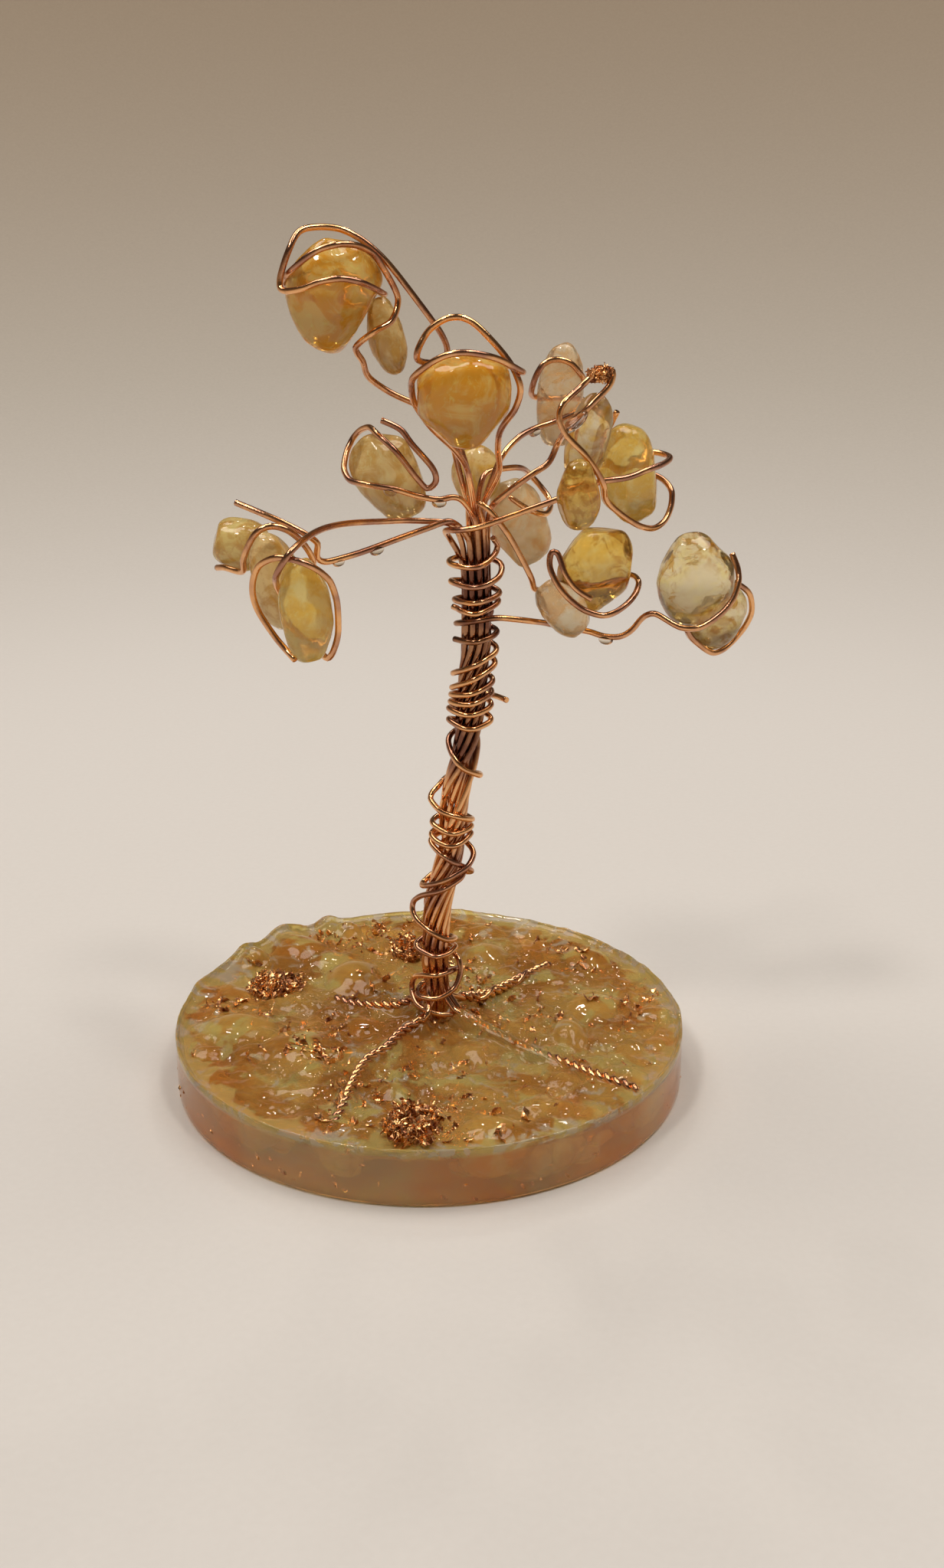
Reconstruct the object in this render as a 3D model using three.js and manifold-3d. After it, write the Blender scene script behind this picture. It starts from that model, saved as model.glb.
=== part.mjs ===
// A little tree of copper wire and tumbled yellow stones on a round cast-resin base.
// Millimetres, +Z up. The origin is the centre of the flat underside of the base.
// Fourteen strands of wire stand in one bundle, the trunk. Below, pairs of strands twist together
// and lie in the resin as roots. Above, each wire leaves the bundle, holds its stones and comes back
// or is cut off. Single lengths of wire are wound round the trunk.
import * as THREE from "three";
import { mergeVertices } from "three/addons/utils/BufferGeometryUtils.js";
import Module from "manifold-3d";

const wasm = await Module();
wasm.setup();

// ---------- driving dimensions ----------
const WIRE = 0.81; // diameter of the copper wire, 20 gauge
const CLEAR = 0.3; // gap kept between pieces that touch
const BASE_RADIUS = 37.5;
const BASE_HEIGHT = 8.2;
const BASE_EDGE = 1; // rounding of the upper rim
const BASE_SIDES = 48;
const FOOT_RADIUS = 3.6; // well in the resin that the trunk stands in
const FOOT_FLOOR = 3.2;
const STRAND_END = 3.8; // height where the cut ends of the trunk strands stop
const CORE_RADIUS = 0.66; // ring of the four inner strands
const SKIN_RADIUS = 1.65; // ring of the ten outer strands
const WRAP_RADIUS = 2.65; // centre line of a wire wound on the bundle
const TWIST_LOW = 20; // the bundle turns between these two heights
const TWIST_HIGH = 66;
const TWIST_ANGLE = 468; // degrees
const ROOT_TWIST = 0.5; // distance of each strand from the middle of its root
const ROOT_PITCH = 8; // length of one full turn of a root's two strands
const STONE_FACETS = 2; // fineness of the hanging stones
const SET_FACETS = 1; // fineness of the stones set in resin

const COPPER = { color: 0xb87348, roughness: 0.28, metalness: 1 };
const CITRINE = { color: 0xd9a838, roughness: 0.12, metalness: 0 };
const PALE_CITRINE = { color: 0xe6d29a, roughness: 0.08, metalness: 0 };
const RESIN = { color: 0xb07f4a, roughness: 0.15, metalness: 0 };

const tree = new THREE.Group();
const vec = (x, y, z) => new THREE.Vector3(x, y, z);
const radians = THREE.MathUtils.degToRad;

function addMesh(name, geometry, finish) {
  const mesh = new THREE.Mesh(geometry, new THREE.MeshStandardMaterial(finish));
  mesh.name = name;
  tree.add(mesh);
}

// ---------- cutting ----------
function solid(geometry) {
  const bare = geometry.clone();
  bare.deleteAttribute("normal");
  bare.deleteAttribute("uv");
  const merged = mergeVertices(bare, 1e-4);
  return new wasm.Manifold(
    new wasm.Mesh({
      numProp: 3,
      vertProperties: merged.attributes.position.array,
      triVerts: new Uint32Array(merged.index.array),
    }),
  );
}

function fromSolid(body) {
  const mesh = body.getMesh();
  const geometry = new THREE.BufferGeometry();
  geometry.setAttribute("position", new THREE.BufferAttribute(mesh.vertProperties, 3));
  geometry.setIndex(new THREE.BufferAttribute(mesh.triVerts, 1));
  geometry.computeVertexNormals();
  return geometry;
}

// ---------- stones ----------
// A tumbled pebble: half sizes across, in depth and in height, turned by degrees about X, Y and Z,
// slimmer towards its top where taper is above 0, with a few worn hollows.
function stone(at, half, turn = [0, 0, 0], taper = 0, hollows = []) {
  const spin = new THREE.Quaternion().setFromEuler(new THREE.Euler(...turn.map(radians)));
  return { at: vec(...at), half: vec(...half), spin, taper, hollows };
}

function stoneGeometry(pebble, facets, grow = 0) {
  const geometry = new THREE.IcosahedronGeometry(1, facets);
  const position = geometry.attributes.position;
  const p = new THREE.Vector3();
  for (let i = 0; i < position.count; i++) {
    p.fromBufferAttribute(position, i).normalize();
    let worn = 1;
    for (const [x, y, z, depth] of pebble.hollows) {
      const facing = p.dot(vec(x, y, z).normalize());
      worn -= depth * Math.max(0, facing - 0.45) ** 1.5;
    }
    const slim = 1 - pebble.taper * p.z;
    p.set(
      p.x * (pebble.half.x + grow) * slim,
      p.y * (pebble.half.y + grow) * slim,
      p.z * (pebble.half.z + grow),
    );
    p.multiplyScalar(worn).applyQuaternion(pebble.spin).add(pebble.at);
    position.setXYZ(i, p.x, p.y, p.z);
  }
  return geometry;
}

const DENT_LEFT = [-1, -0.5, 0.4, 0.35];
const DENT_RIGHT = [1, -0.3, -0.5, 0.35];
const DENT_TOP = [0.3, 0.2, 1, 0.3];
const DENT_FRONT = [0.2, -1, -0.2, 0.3];

const hanging = {
  stone_top_left_egg: stone([-11.4, -2, 111.8], [5.7, 4.8, 7.2], [0, 12, 0], -0.13, [DENT_RIGHT]),
  stone_top_left_drop: stone([-4.9, 1.5, 106.6], [1.9, 1.6, 5.0], [0, -14, 0], 0.1),
  stone_top_centre: stone([5.5, -12, 100.3], [5.9, 4.6, 6.1], [0, 0, 0], -0.1, [DENT_TOP, DENT_RIGHT]),
  stone_middle_left: stone([-4.9, 0, 88.4], [4.4, 3.4, 6.4], [0, -28, 0], -0.1, [DENT_LEFT]),
  stone_far_left_outer: stone([-23.4, -9, 81.3], [3.8, 2.8, 3.4], [0, 10, 0], 0, [DENT_TOP]),
  stone_far_left_middle: stone([-18.6, -14.5, 78.0], [3.1, 2.6, 6.3], [0, -14, 0], 0.1, [DENT_LEFT]),
  stone_far_left_front: stone([-14.2, -21, 75.9], [3.0, 2.8, 6.9], [0, -5, 0], 0.18, [DENT_FRONT]),
  stone_back_right_flat: stone([18.5, 11, 97.7], [2.8, 1.8, 7.4], [0, 3, 0], 0.12, [DENT_RIGHT]),
  stone_right_long: stone([21.4, -4.5, 94.2], [2.4, 2.1, 5.7], [0, 14, 0], 0),
  stone_right_drop: stone([19.9, -9, 87.8], [2.4, 2.2, 4.2], [0, 0, 0], 0.12),
  stone_right_golden: stone([27.1, 0, 88.8], [3.7, 3.4, 6.7], [0, -6, 0], 0.08, [DENT_LEFT]),
  stone_right_low: stone([23.2, 1.6, 75.9], [5.0, 3.4, 5.9], [0, 12, 0], -0.06, [DENT_LEFT, DENT_FRONT]),
  stone_right_low_pink: stone([18.6, -2.2, 71.3], [2.5, 1.8, 4.5], [0, -38, 0], 0.05),
  stone_far_right: stone([36.9, 0, 74.5], [5.1, 3.5, 6.3], [0, -10, 0], 0.08, [DENT_RIGHT]),
  stone_far_right_back: stone([40.4, 4.6, 68.3], [3.6, 2.8, 4.8], [0, 30, 0], 0),
  stone_behind_trunk_right: stone([12.9, 9.5, 80.8], [3.7, 2.8, 6.7], [0, -12, 0], 0.1, [DENT_TOP]),
  stone_behind_trunk_top: stone([6.8, 7.5, 87.6], [2.9, 2.4, 3.9], [0, 0, 0], 0),
};
const pale = [
  "stone_top_left_drop",
  "stone_back_right_flat",
  "stone_right_low_pink",
  "stone_far_right",
  "stone_far_right_back",
  "stone_behind_trunk_right",
];

// Stones set in the resin, a little proud of it.
const set = {
  set_stone_left_rim: stone([-28.4, -2.5, 5.3], [5.9, 4.4, 3.6], [0, 0, 10], 0),
  set_stone_left: stone([-18.6, -8.6, 5.2], [6.6, 5.4, 3.9], [0, 0, -20], 0, [DENT_TOP]),
  set_stone_behind_trunk_left: stone([-12.2, 13.6, 5.6], [4.3, 6.1, 4.0], [0, 0, 15], 0),
  set_stone_back_left: stone([-21.4, 23.3, 5.5], [5.2, 4.0, 3.8], [0, 0, 40], 0),
  set_stone_back_rim: stone([-14.2, 30.2, 6.4], [2.2, 2.0, 2.9], [0, 0, 0], 0.1),
  set_stone_left_peak: stone([-28.2, 19.0, 6.2], [2.4, 2.0, 3.3], [0, 0, 0], 0.15),
  set_stone_behind_trunk_right: stone([8.2, 22.2, 5.2], [3.8, 4.6, 3.6], [0, 0, -10], 0),
  set_stone_right: stone([24.6, 4.6, 5.3], [4.1, 4.4, 3.7], [0, 0, 0], 0, [DENT_TOP]),
  set_stone_right_pointed: stone([20.4, -5.0, 5.6], [2.6, 3.9, 3.9], [0, 0, 20], 0.2),
  set_stone_front_small: stone([-4.4, -22.3, 5.5], [3.0, 2.9, 3.6], [0, 0, 0], 0),
  set_stone_front: stone([8.8, -30.8, 5.3], [4.7, 3.4, 3.6], [0, 0, 8], 0),
  set_stone_back_right: stone([24.5, 20.5, 5.2], [4.8, 3.6, 3.5], [0, 0, -40], 0),
};

// ---------- copper shavings ----------
// A crumpled tuft: a ball whose points stand out and fall back by a steady rule.
function tuftGeometry(at, half, phase) {
  const geometry = new THREE.IcosahedronGeometry(1, SET_FACETS);
  const position = geometry.attributes.position;
  const p = new THREE.Vector3();
  for (let i = 0; i < position.count; i++) {
    p.fromBufferAttribute(position, i).normalize();
    const ripple = Math.sin(9 * p.x + phase) * Math.cos(8 * p.y - phase) + Math.sin(7 * p.z + 2 * p.x);
    const out = 0.86 + 0.07 * ripple;
    position.setXYZ(i, at[0] + p.x * half[0] * out, at[1] + p.y * half[1] * out, at[2] + p.z * half[2] * out);
  }
  return geometry;
}

const tufts = {
  shavings_front: [[-1.9, -30.6, 6.4], [4.4, 4.2, 3.6], 0.4],
  shavings_left: [[-24.4, 9.6, 6.2], [4.6, 4.6, 3.2], 1.7],
  shavings_back: [[-4.4, 23.0, 6.2], [3.0, 4.4, 3.3], 2.9],
};

// ---------- trunk ----------
// Middle of the bundle from foot to crown: it leans right, then stands up.
const trunkLine = [
  vec(1.4, 0, 3),
  vec(1.4, 0, 12),
  vec(1.0, 0, 20),
  vec(1.3, 0, 27),
  vec(2.9, 0, 33),
  vec(3.4, 0, 39),
  vec(4.0, 0, 44),
  vec(5.8, 0, 51),
  vec(6.2, 0, 58),
  vec(6.9, 0, 66),
  vec(6.9, 0, 73),
  vec(6.5, 0, 80),
  vec(6.3, 0, 92),
];

function trunkAt(z) {
  let i = 1;
  while (i < trunkLine.length - 1 && trunkLine[i].z < z) i++;
  const low = trunkLine[i - 1];
  const high = trunkLine[i];
  const share = (z - low.z) / (high.z - low.z);
  return vec(low.x + share * (high.x - low.x), 0, z);
}

function twistAt(z) {
  const share = THREE.MathUtils.clamp((z - TWIST_LOW) / (TWIST_HIGH - TWIST_LOW), 0, 1);
  return TWIST_ANGLE * (THREE.MathUtils.smoothstep(share, 0, 1) * 0.3 + share * 0.7 - 1);
}

function around(z, degrees, radius) {
  const middle = trunkAt(z);
  const a = radians(degrees);
  return vec(middle.x + radius * Math.cos(a), radius * Math.sin(a), z);
}

// Each slot is a place in the bundle, by its angle at the crown: 0 is right, 90 behind, 270 in front.
const slots = {};
["right", "right_back", "back", "back_left", "left_back"].forEach((name, i) => {
  slots[name] = { angle: 36 * i, radius: SKIN_RADIUS };
});
["left", "left_front", "front_left", "front", "front_right"].forEach((name, i) => {
  slots[name] = { angle: 180 + 36 * i, radius: SKIN_RADIUS };
});
["core_right", "core_back", "core_left", "core_front"].forEach((name, i) => {
  slots[name] = { angle: 90 * i + 20, radius: CORE_RADIUS };
});

const STRAND_STEP = 3;
function strand(slotName, low, high) {
  const { angle, radius } = slots[slotName];
  const count = Math.ceil((high - low) / STRAND_STEP);
  const points = [];
  for (let i = 0; i <= count; i++) {
    const z = low + ((high - low) * i) / count;
    points.push(around(z, angle + twistAt(z), radius));
  }
  return points;
}

// ---------- roots ----------
// Middle line of each root, from the trunk outwards. The far ends sink into the resin.
const roots = {
  back_right: [
    [4.8, 3.0, 9.8],
    [7.2, 4.6, 9.1],
    [10.4, 7.6, 8.7],
    [13.6, 11.6, 8.5],
    [16.3, 14.8, 8.2],
    [18.4, 18.4, 7.5],
  ],
  front: [
    [-0.6, -3.6, 10.2],
    [-3.4, -6.2, 9.5],
    [-5.8, -11.0, 9.0],
    [-8.4, -14.4, 8.8],
    [-9.8, -19.0, 8.7],
    [-11.0, -25.6, 8.3],
    [-12.8, -31.4, 7.0],
  ],
  front_right: [
    [4.6, -2.8, 10.0],
    [7.4, -4.2, 8.8],
    [11.4, -7.4, 8.2],
    [15.9, -11.4, 8.0],
    [20.4, -14.4, 8.0],
    [24.4, -18.4, 8.4],
    [29.2, -21.4, 8.0],
  ],
  left: [
    [-2.6, 1.8, 10.0],
    [-5.2, 2.2, 8.9],
    [-8.2, 3.0, 8.4],
    [-11.2, 4.2, 8.0],
    [-14.4, 6.6, 7.6],
  ],
};

function rootCurve(name) {
  return new THREE.CatmullRomCurve3(roots[name].map((p) => vec(...p)));
}

// One of the two strands of a root, from its far end in to the trunk.
function rootStrand(name, side) {
  const curve = rootCurve(name);
  const length = curve.getLength();
  const count = Math.round((6 * length) / ROOT_PITCH);
  const points = [];
  for (let i = count; i >= 0; i--) {
    const u = i / count;
    const middle = curve.getPointAt(u);
    const across = curve.getTangentAt(u).cross(vec(0, 0, 1)).normalize();
    const turn = (2 * Math.PI * u * length) / ROOT_PITCH + side * Math.PI;
    middle.addScaledVector(across, ROOT_TWIST * Math.cos(turn));
    middle.z += ROOT_TWIST * Math.sin(turn);
    points.push(middle);
  }
  return points;
}

const ROOT_JOINS = 13; // height where a root strand has found its place in the bundle
function leg(slotName, top, root, side) {
  if (!root) return strand(slotName, STRAND_END, top);
  return [...rootStrand(root, side), ...strand(slotName, ROOT_JOINS, top)];
}

// ---------- wires ----------
const wires = [];
function wire(name, ...stretches) {
  const points = stretches.flat().map((p) => (p.isVector3 ? p : vec(...p)));
  wires.push({ name, points });
}
const downward = (points) => points.toReversed();

// Two legs rise to the egg, ring it twice and hold the small drop at its side.
wire(
  "wire_top_left",
  leg("core_back", 84),
  [[5.0, 0.4, 89], [3.6, 0.4, 94.5], [2.9, -0.5, 100.5], [3.0, -1, 105.6], [1.4, -2, 108.4], [-4.9, -2, 115.7]],
  [[-7.4, -2, 117.9], [-10.3, -2, 119.6], [-13.2, -2.4, 120], [-15.2, -3.4, 119.6], [-16.4, -5, 117.5]],
  [[-17.6, -5.4, 113], [-15.3, -7.4, 112.9], [-12.1, -8.4, 114], [-9.4, -8.2, 114.2], [-7.2, -7, 113.4]],
  [[-5.6, -2.5, 111.6], [-7.6, 2.6, 111.4], [-12, 4.4, 112], [-16.4, 1.6, 112.6], [-17.8, -2.4, 113.6]],
  [[-15.4, -6.4, 115.8], [-13.2, -6.8, 117.3], [-10.7, -6.4, 117.9], [-8.4, -4.6, 117.5], [-6.4, -2.6, 115.8]],
  [[-4.6, -1.6, 113.4], [-3.6, -1.0, 111.4], [-4.4, -2.4, 109.2], [-6.6, -3.6, 108.4], [-9.2, -2.6, 106.8]],
  [[-8.0, -0.6, 103.8], [-7.6, 0, 102.2], [-6.2, 0.4, 100.8], [-4.3, 0.5, 99.5], [-2.4, 0.6, 98.5], [0, 0.8, 97.3]],
  [[3.2, 1.0, 94.6], [5.2, 0.8, 90]],
  downward(leg("core_left", 84)),
);

// A tall hoop over the centre stone and a second band across its face.
wire(
  "wire_top_centre",
  leg("core_front", 82),
  [[5.8, -2, 89.2], [4.8, -4, 91.8], [3.2, -6, 94], [1.5, -8, 96.2], [0.3, -10.2, 98.6], [-0.4, -13, 101.6]],
  [[-0.4, -15.4, 103.1], [1.0, -16.8, 104.6], [3.0, -17.6, 105.9], [5.2, -17.8, 106.3], [7.2, -17.4, 106], [9.6, -15.6, 105]],
  [[11.8, -12.4, 103], [10.4, -8.6, 103.6], [5.6, -7.0, 104.4], [1.0, -9.2, 104.2], [-0.5, -11.6, 105.2]],
  [[0.6, -11, 107.8], [2.4, -11, 109.4], [4.4, -11, 109.9], [6.0, -11, 109.4], [8.2, -11.4, 107.4], [10.4, -11.6, 104.6]],
  [[11.9, -12, 101.6], [11.4, -11, 99], [9.8, -8.6, 96], [9.6, -5, 92.8], [9.8, -2.6, 89.6]],
  downward(leg("core_right", 83)),
);

// Comes forward under the stone, round its back and down its face, then springs free.
wire(
  "wire_middle_left",
  leg("front", 83, "left", 0),
  [[4.6, -2.4, 86.2], [2, -3.2, 86.1], [0, -4, 86.5], [-4.3, -4.6, 87.8], [-7.4, -4.2, 88.2], [-9.6, -1.8, 88.5]],
  [[-10.2, 1, 90.6], [-9.2, 2.6, 93.2], [-7.4, 0.4, 94.8], [-5.6, -3, 94.1], [-3.4, -4.4, 92.3], [-0.8, -4.2, 88.9]],
  [[0.4, -3.6, 87.6], [1.5, -4.2, 88.4], [1.5, -4.8, 89.8], [0.8, -4.8, 91], [-1.7, -4.6, 93.8], [-2.9, -4.2, 95.3], [-5.4, -4, 96.5]],
);

// The long low branch on the left, which runs down between two stones and rings the front one.
wire(
  "wire_far_left_long",
  leg("left_front", 79),
  [[4.0, -2.4, 82.4], [-0.7, -4, 83.4], [-5.4, -7, 83.9], [-9.8, -12, 84.6], [-12.5, -17, 84.8], [-14.3, -22, 84.3]],
  [[-15.6, -24.4, 83.2], [-17.0, -24.2, 81], [-17.5, -21, 78.6], [-16.0, -18.4, 75], [-14.0, -18, 71.4], [-12.2, -19.6, 69.4]],
  [[-10.9, -21.2, 73.4], [-10.7, -22, 77.6], [-11.6, -23.6, 80.6], [-14.4, -24.6, 82.6], [-17.6, -23.4, 82.8], [-20.2, -21.4, 80.8]],
  [[-20.8, -20.4, 77], [-19.2, -20.6, 73.6], [-17.2, -21.2, 71.2], [-15.6, -22.6, 69.9]],
);

// The lower left branch: a hairpin at the stones, back over them to a cut end.
wire(
  "wire_far_left_short",
  leg("front_left", 80, "left", 1),
  [[3.4, -3.4, 83.2], [1.2, -4, 82.7], [-2.2, -5.6, 81.8], [-6.9, -8.6, 80.6], [-10, -10.6, 80], [-12.8, -12.4, 79.8]],
  [[-13.5, -13.4, 80.9], [-13.2, -13.6, 82.2], [-14.7, -13.8, 83.6], [-16.8, -13.6, 84.7], [-19.5, -13, 85.8], [-23.7, -11.4, 87.2]],
);

// A short length that clips the outer stone to the middle one.
wire(
  "wire_far_left_clip",
  [[-26.6, -10.6, 78.6], [-25.2, -12.4, 79], [-22.8, -14.6, 79], [-22.4, -16.4, 80.8], [-21.4, -17.6, 83.2], [-20.2, -17.8, 84.8]],
  [[-18.6, -17.6, 85.4], [-16.6, -17.2, 84.8], [-14.8, -16.4, 83], [-13.8, -15.4, 80.8], [-14.0, -13.4, 78.4]],
);

// Up behind the right-hand stones and once round the flat stone.
wire(
  "wire_back_right",
  leg("right_back", 84, "front_right", 0),
  [[9.6, 1.6, 89.6], [10.4, 2, 91], [11.6, 3.4, 92.4], [13.3, 5, 93.5], [15.2, 7, 94.1], [17.3, 8, 94.7], [19.2, 8.6, 95.4]],
  [[21.6, 10, 96.6], [20.2, 13.4, 97.4], [17.2, 13.6, 97.2], [14.6, 11.6, 97.6], [14.4, 9, 99.2], [15.0, 8.6, 101]],
  [[15.9, 8.8, 102.2], [17.4, 8.9, 102.6], [19.1, 9, 102], [20.4, 9.4, 100.2], [20.9, 11, 98.9]],
);

// Crosses the face of the trunk, passes behind the drop and bands the golden stone.
wire(
  "wire_right_lower",
  leg("left", 77, "back_right", 0),
  [[3.4, -0.4, 80.2], [2.8, -2.6, 81.8], [4.2, -4.2, 82.2], [6.4, -4.6, 82.5], [9.9, -5, 83.7], [13.3, -5.4, 85], [16.4, -5.6, 86.2]],
  [[19.6, -5.6, 87.4], [22.6, -6, 88.8], [24.1, -5.8, 89], [26, -5.4, 89.2], [28.1, -4.6, 89.8], [30.1, -3.2, 90.3]],
  [[31.9, -1.2, 90.6], [32.6, 0.8, 91], [31.2, 3.2, 91.2], [27.6, 5, 91.4], [24.2, 4, 92.2], [24.4, 1.8, 94.4], [25.4, 0.6, 97.0]],
);

// Rises to the crusted tip, comes down in front as one bright bow and loops the golden stone.
wire(
  "wire_right_upper",
  leg("right", 81, "front", 0),
  [[8.6, -2.2, 84.6], [10.2, -2.4, 86.2], [12.2, -2.8, 87.9], [14.4, -2.6, 89.4], [16.4, -1.6, 90.6], [17.6, -1.4, 93.0]],
  [[18.6, -4.6, 95.2], [19.8, -6.4, 96.8], [21, -6.8, 98.2], [22.6, -6.2, 99.8], [24, -5.4, 101.3], [24.2, -5.0, 102.8], [22.8, -5.2, 103]],
  [[20.2, -6, 101.0], [18.7, -7.4, 99.9], [17.6, -8.4, 98.8], [17.2, -8.8, 97.4], [17.7, -8.8, 95.7], [18.9, -8.8, 94], [20.2, -8.8, 92.5]],
  [[21.5, -8.6, 90.6], [22.9, -7.8, 88.6], [23.6, -6, 86.3], [26, -5, 84.2], [28.4, -4, 82.7], [30.5, -2, 82], [32.2, 0, 82.7]],
  [[33.1, 1.4, 84.4], [33.2, 2.4, 86.2], [32, 3.8, 87.6], [28.6, 4.8, 88.8], [25.2, 4.8, 90.4]],
);

// Down to the right, behind two stones and up their faces as a doubled hoop.
wire(
  "wire_right_low",
  leg("front_right", 82, "front", 1),
  [[7.2, -3.4, 85.6], [8.4, -4, 85.0], [9.8, -4.2, 83.4], [11.6, -4, 80.9], [13.2, -3.6, 78], [14.9, -3.4, 75.3], [16, -1.6, 73]],
  [[18.4, 2.4, 73.2], [22.4, 5, 73.8], [26.4, 4.4, 74.6], [28.4, 1, 74.6], [28.2, -2, 73.4], [26.2, -4.2, 71.6]],
  [[23.9, -4.8, 70.8], [20.9, -5, 71.8], [18.6, -4.8, 73.8], [17.2, -4.2, 75.8], [16.6, -3.6, 77.8], [17.2, -3.4, 79.4]],
  [[18.0, -3.8, 78.2], [18.8, -4.4, 76.2], [20.2, -4.8, 74.4], [22.2, -4.8, 73.0]],
);

// The lowest branch: wound on the trunk, then out in an S to the far right stones.
wire(
  "wire_far_right",
  [around(66.4, -180, WRAP_RADIUS), around(66.6, -90, WRAP_RADIUS), around(67.3, 0, WRAP_RADIUS)],
  [around(67.9, 90, WRAP_RADIUS), around(68.4, 180, WRAP_RADIUS), around(69.1, 240, WRAP_RADIUS)],
  [[7.4, -2.9, 69.6], [9.6, -2.7, 69.9], [14.1, -1.6, 69.2], [16.4, 0.4, 68.4], [19.4, 1.4, 67.4], [22.4, 0.4, 67.2], [24.3, -1, 66.9]],
  [[26.7, -2, 67.2], [28.4, -2, 68.4], [29.5, -2, 69.8], [30.8, -2.6, 70.5], [32.2, -3.2, 70], [34.2, -4, 69]],
  [[35.5, -4.2, 68.8], [37.1, -4.4, 69.1], [39.2, -4.2, 70.4], [41, -3.6, 72.2], [42, -2.6, 74.4], [42, -1.4, 76.2], [41.2, -0.6, 78.2]],
);

// A short length that hooks under the rear stone and up its outer edge.
wire(
  "wire_far_right_clip",
  [[35.8, 0.2, 67.6], [36.6, 1.4, 66.2], [38.2, 2.4, 64.6], [40.2, 3.2, 63.4], [43.2, 6, 64.4], [45.4, 5.8, 68], [44.8, 4.4, 71.6], [42.6, 3.4, 73.4]],
);

// Over the shoulder of the stone behind the trunk and once across it.
wire(
  "wire_behind_trunk_right",
  leg("back", 83, "front_right", 1),
  [[8.0, 3.2, 88.2], [10.4, 5.4, 88.6], [12.8, 8, 88.4], [14.6, 12, 86.6], [17.2, 11, 83.4], [16.4, 7, 82.2], [14.2, 5.8, 83], [11.4, 5.6, 84.8]],
);

// Bends over at the very top of the trunk, holding the smallest stone from the back.
wire(
  "wire_behind_trunk_top",
  leg("left_back", 83, "back_right", 1),
  [[3.6, 2.4, 86.2], [3.4, 3.6, 88.6], [4.0, 4.4, 91], [5.4, 4.2, 92.8], [6.6, 3, 92.2], [7.0, 2.2, 89.6], [6.2, 1.8, 86.4]],
  downward(leg("back_left", 82)),
);

// ---------- wires wound on the trunk ----------
// Each row is a height, an angle round the trunk and how far off it the wire stands.
const wound = (rows) => rows.map(([z, degrees, off = 0]) => around(z, degrees, WRAP_RADIUS + off));

wire(
  "wrap_upper",
  wound([[80.6, 330, 0.4], [78.8, 360, 0.5], [77.0, 280, 0.5], [77.0, 220, 0.7], [77.2, 180, 0.8], [77.3, 90, 0.4], [76.6, 10, 0.9]]),
  wound([[75.2, -30, 0.8], [74.2, -90, 0.5], [74.4, -180, 0.8], [73.6, -270, 0.3], [72.8, -360, 0.5], [72.0, -450, 0.3]]),
  wound([[71.8, -540, 0.3], [71.6, -630, 0], [71.6, -720, 0.4], [70.4, -810, 0.1], [70.8, -900, 0.3]]),
);
wire(
  "wrap_slant_first",
  wound([[65.6, 60], [65.0, 0], [63.2, -90], [61.2, -180], [60.8, -270], [60.2, -360], [58.9, -450], [58.0, -540], [57.6, -630]]),
  wound([[57.0, -720], [56.2, -810, 0.1], [56.4, -900, 0.3], [55.6, -990], [54.8, -1080], [54.0, -1170, 0.1], [54.6, -1260, 0.3], [53.6, -1330]]),
);
wire(
  "wrap_slant_second",
  wound([[63.6, 60], [62.9, 0], [61.1, -90], [59.2, -180], [59.0, -270], [58.6, -345], [57.6, -450], [57.2, -540], [56.8, -600]]),
  [[6.6, 4.4, 57.2], [9.4, 3.0, 57.2], [11.2, 0.4, 57.3]],
);
wire(
  "wrap_cross",
  wound([[53.0, 60], [52.6, 120], [51.6, 180, 0.2], [48.6, 260, 0.2], [46.8, 330, 0.3], [46.2, 380], [45.4, 470, 0.1], [44.4, 530]]),
  wound([[43.2, 545, 0.9], [41.8, 590, 0.4], [40.8, 650], [39.6, 720], [39.6, 810], [39.2, 900], [38.4, 990], [38.6, 1080]]),
  wound([[37.8, 1170], [37.4, 1260], [36.7, 1350], [37.6, 1440], [36.8, 1530], [36.2, 1620], [34.2, 1710, 0.2], [31.6, 1800, 0.4], [30.8, 1870]]),
);
wire(
  "wrap_lower",
  wound([[36.6, 70, 0.2], [34.8, 0, 0.4], [31.6, -90], [29.4, -180, 0.2], [31.0, -270], [31.8, -350], [30.0, -450], [27.8, -530, 0.4]]),
  wound([[26.4, -540, 1.0], [24.8, -520, 0.7], [23.2, -470], [21.8, -420], [21.0, -360], [20.6, -270], [20.2, -180], [19.4, -90], [19.6, 0]]),
  wound([[19.0, 60], [18.6, 110]]),
);
wire(
  "wrap_foot",
  wound([[18.2, 60], [17.6, 0, 0.3], [15.6, -15, 0.6], [13.4, -40, 0.3], [12.0, -90, 0.1], [11.6, -150, 0.4], [12.2, -230]]),
  wound([[13.6, -290], [15.6, -350, 0.3], [16.2, -450, 0.1], [15.0, -530, 0.5], [12.6, -545, 1.2], [10.9, -500, 1.0]]),
  wound([[10.3, -450, 0.9], [10.0, -410, 1.3]]),
);

// ---------- settling the wires ----------
// Every wire is laid along a smooth curve in 1 mm steps. Steps that run into a stone or another wire
// are then moved clear, and each move is shared with the neighbours, as a stiff wire would.
const SETTLE_ROUNDS = 90;
const BARE_ROUNDS = 12; // last rounds, which no longer share the moves
const WIRE_GAP = 0.18;
const SAME_WIRE = 4; // steps along one wire that may lie close together
const FIXED_LOW = 18; // strands inside the bundle stay where they are between these heights
const FIXED_HIGH = 70;

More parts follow.
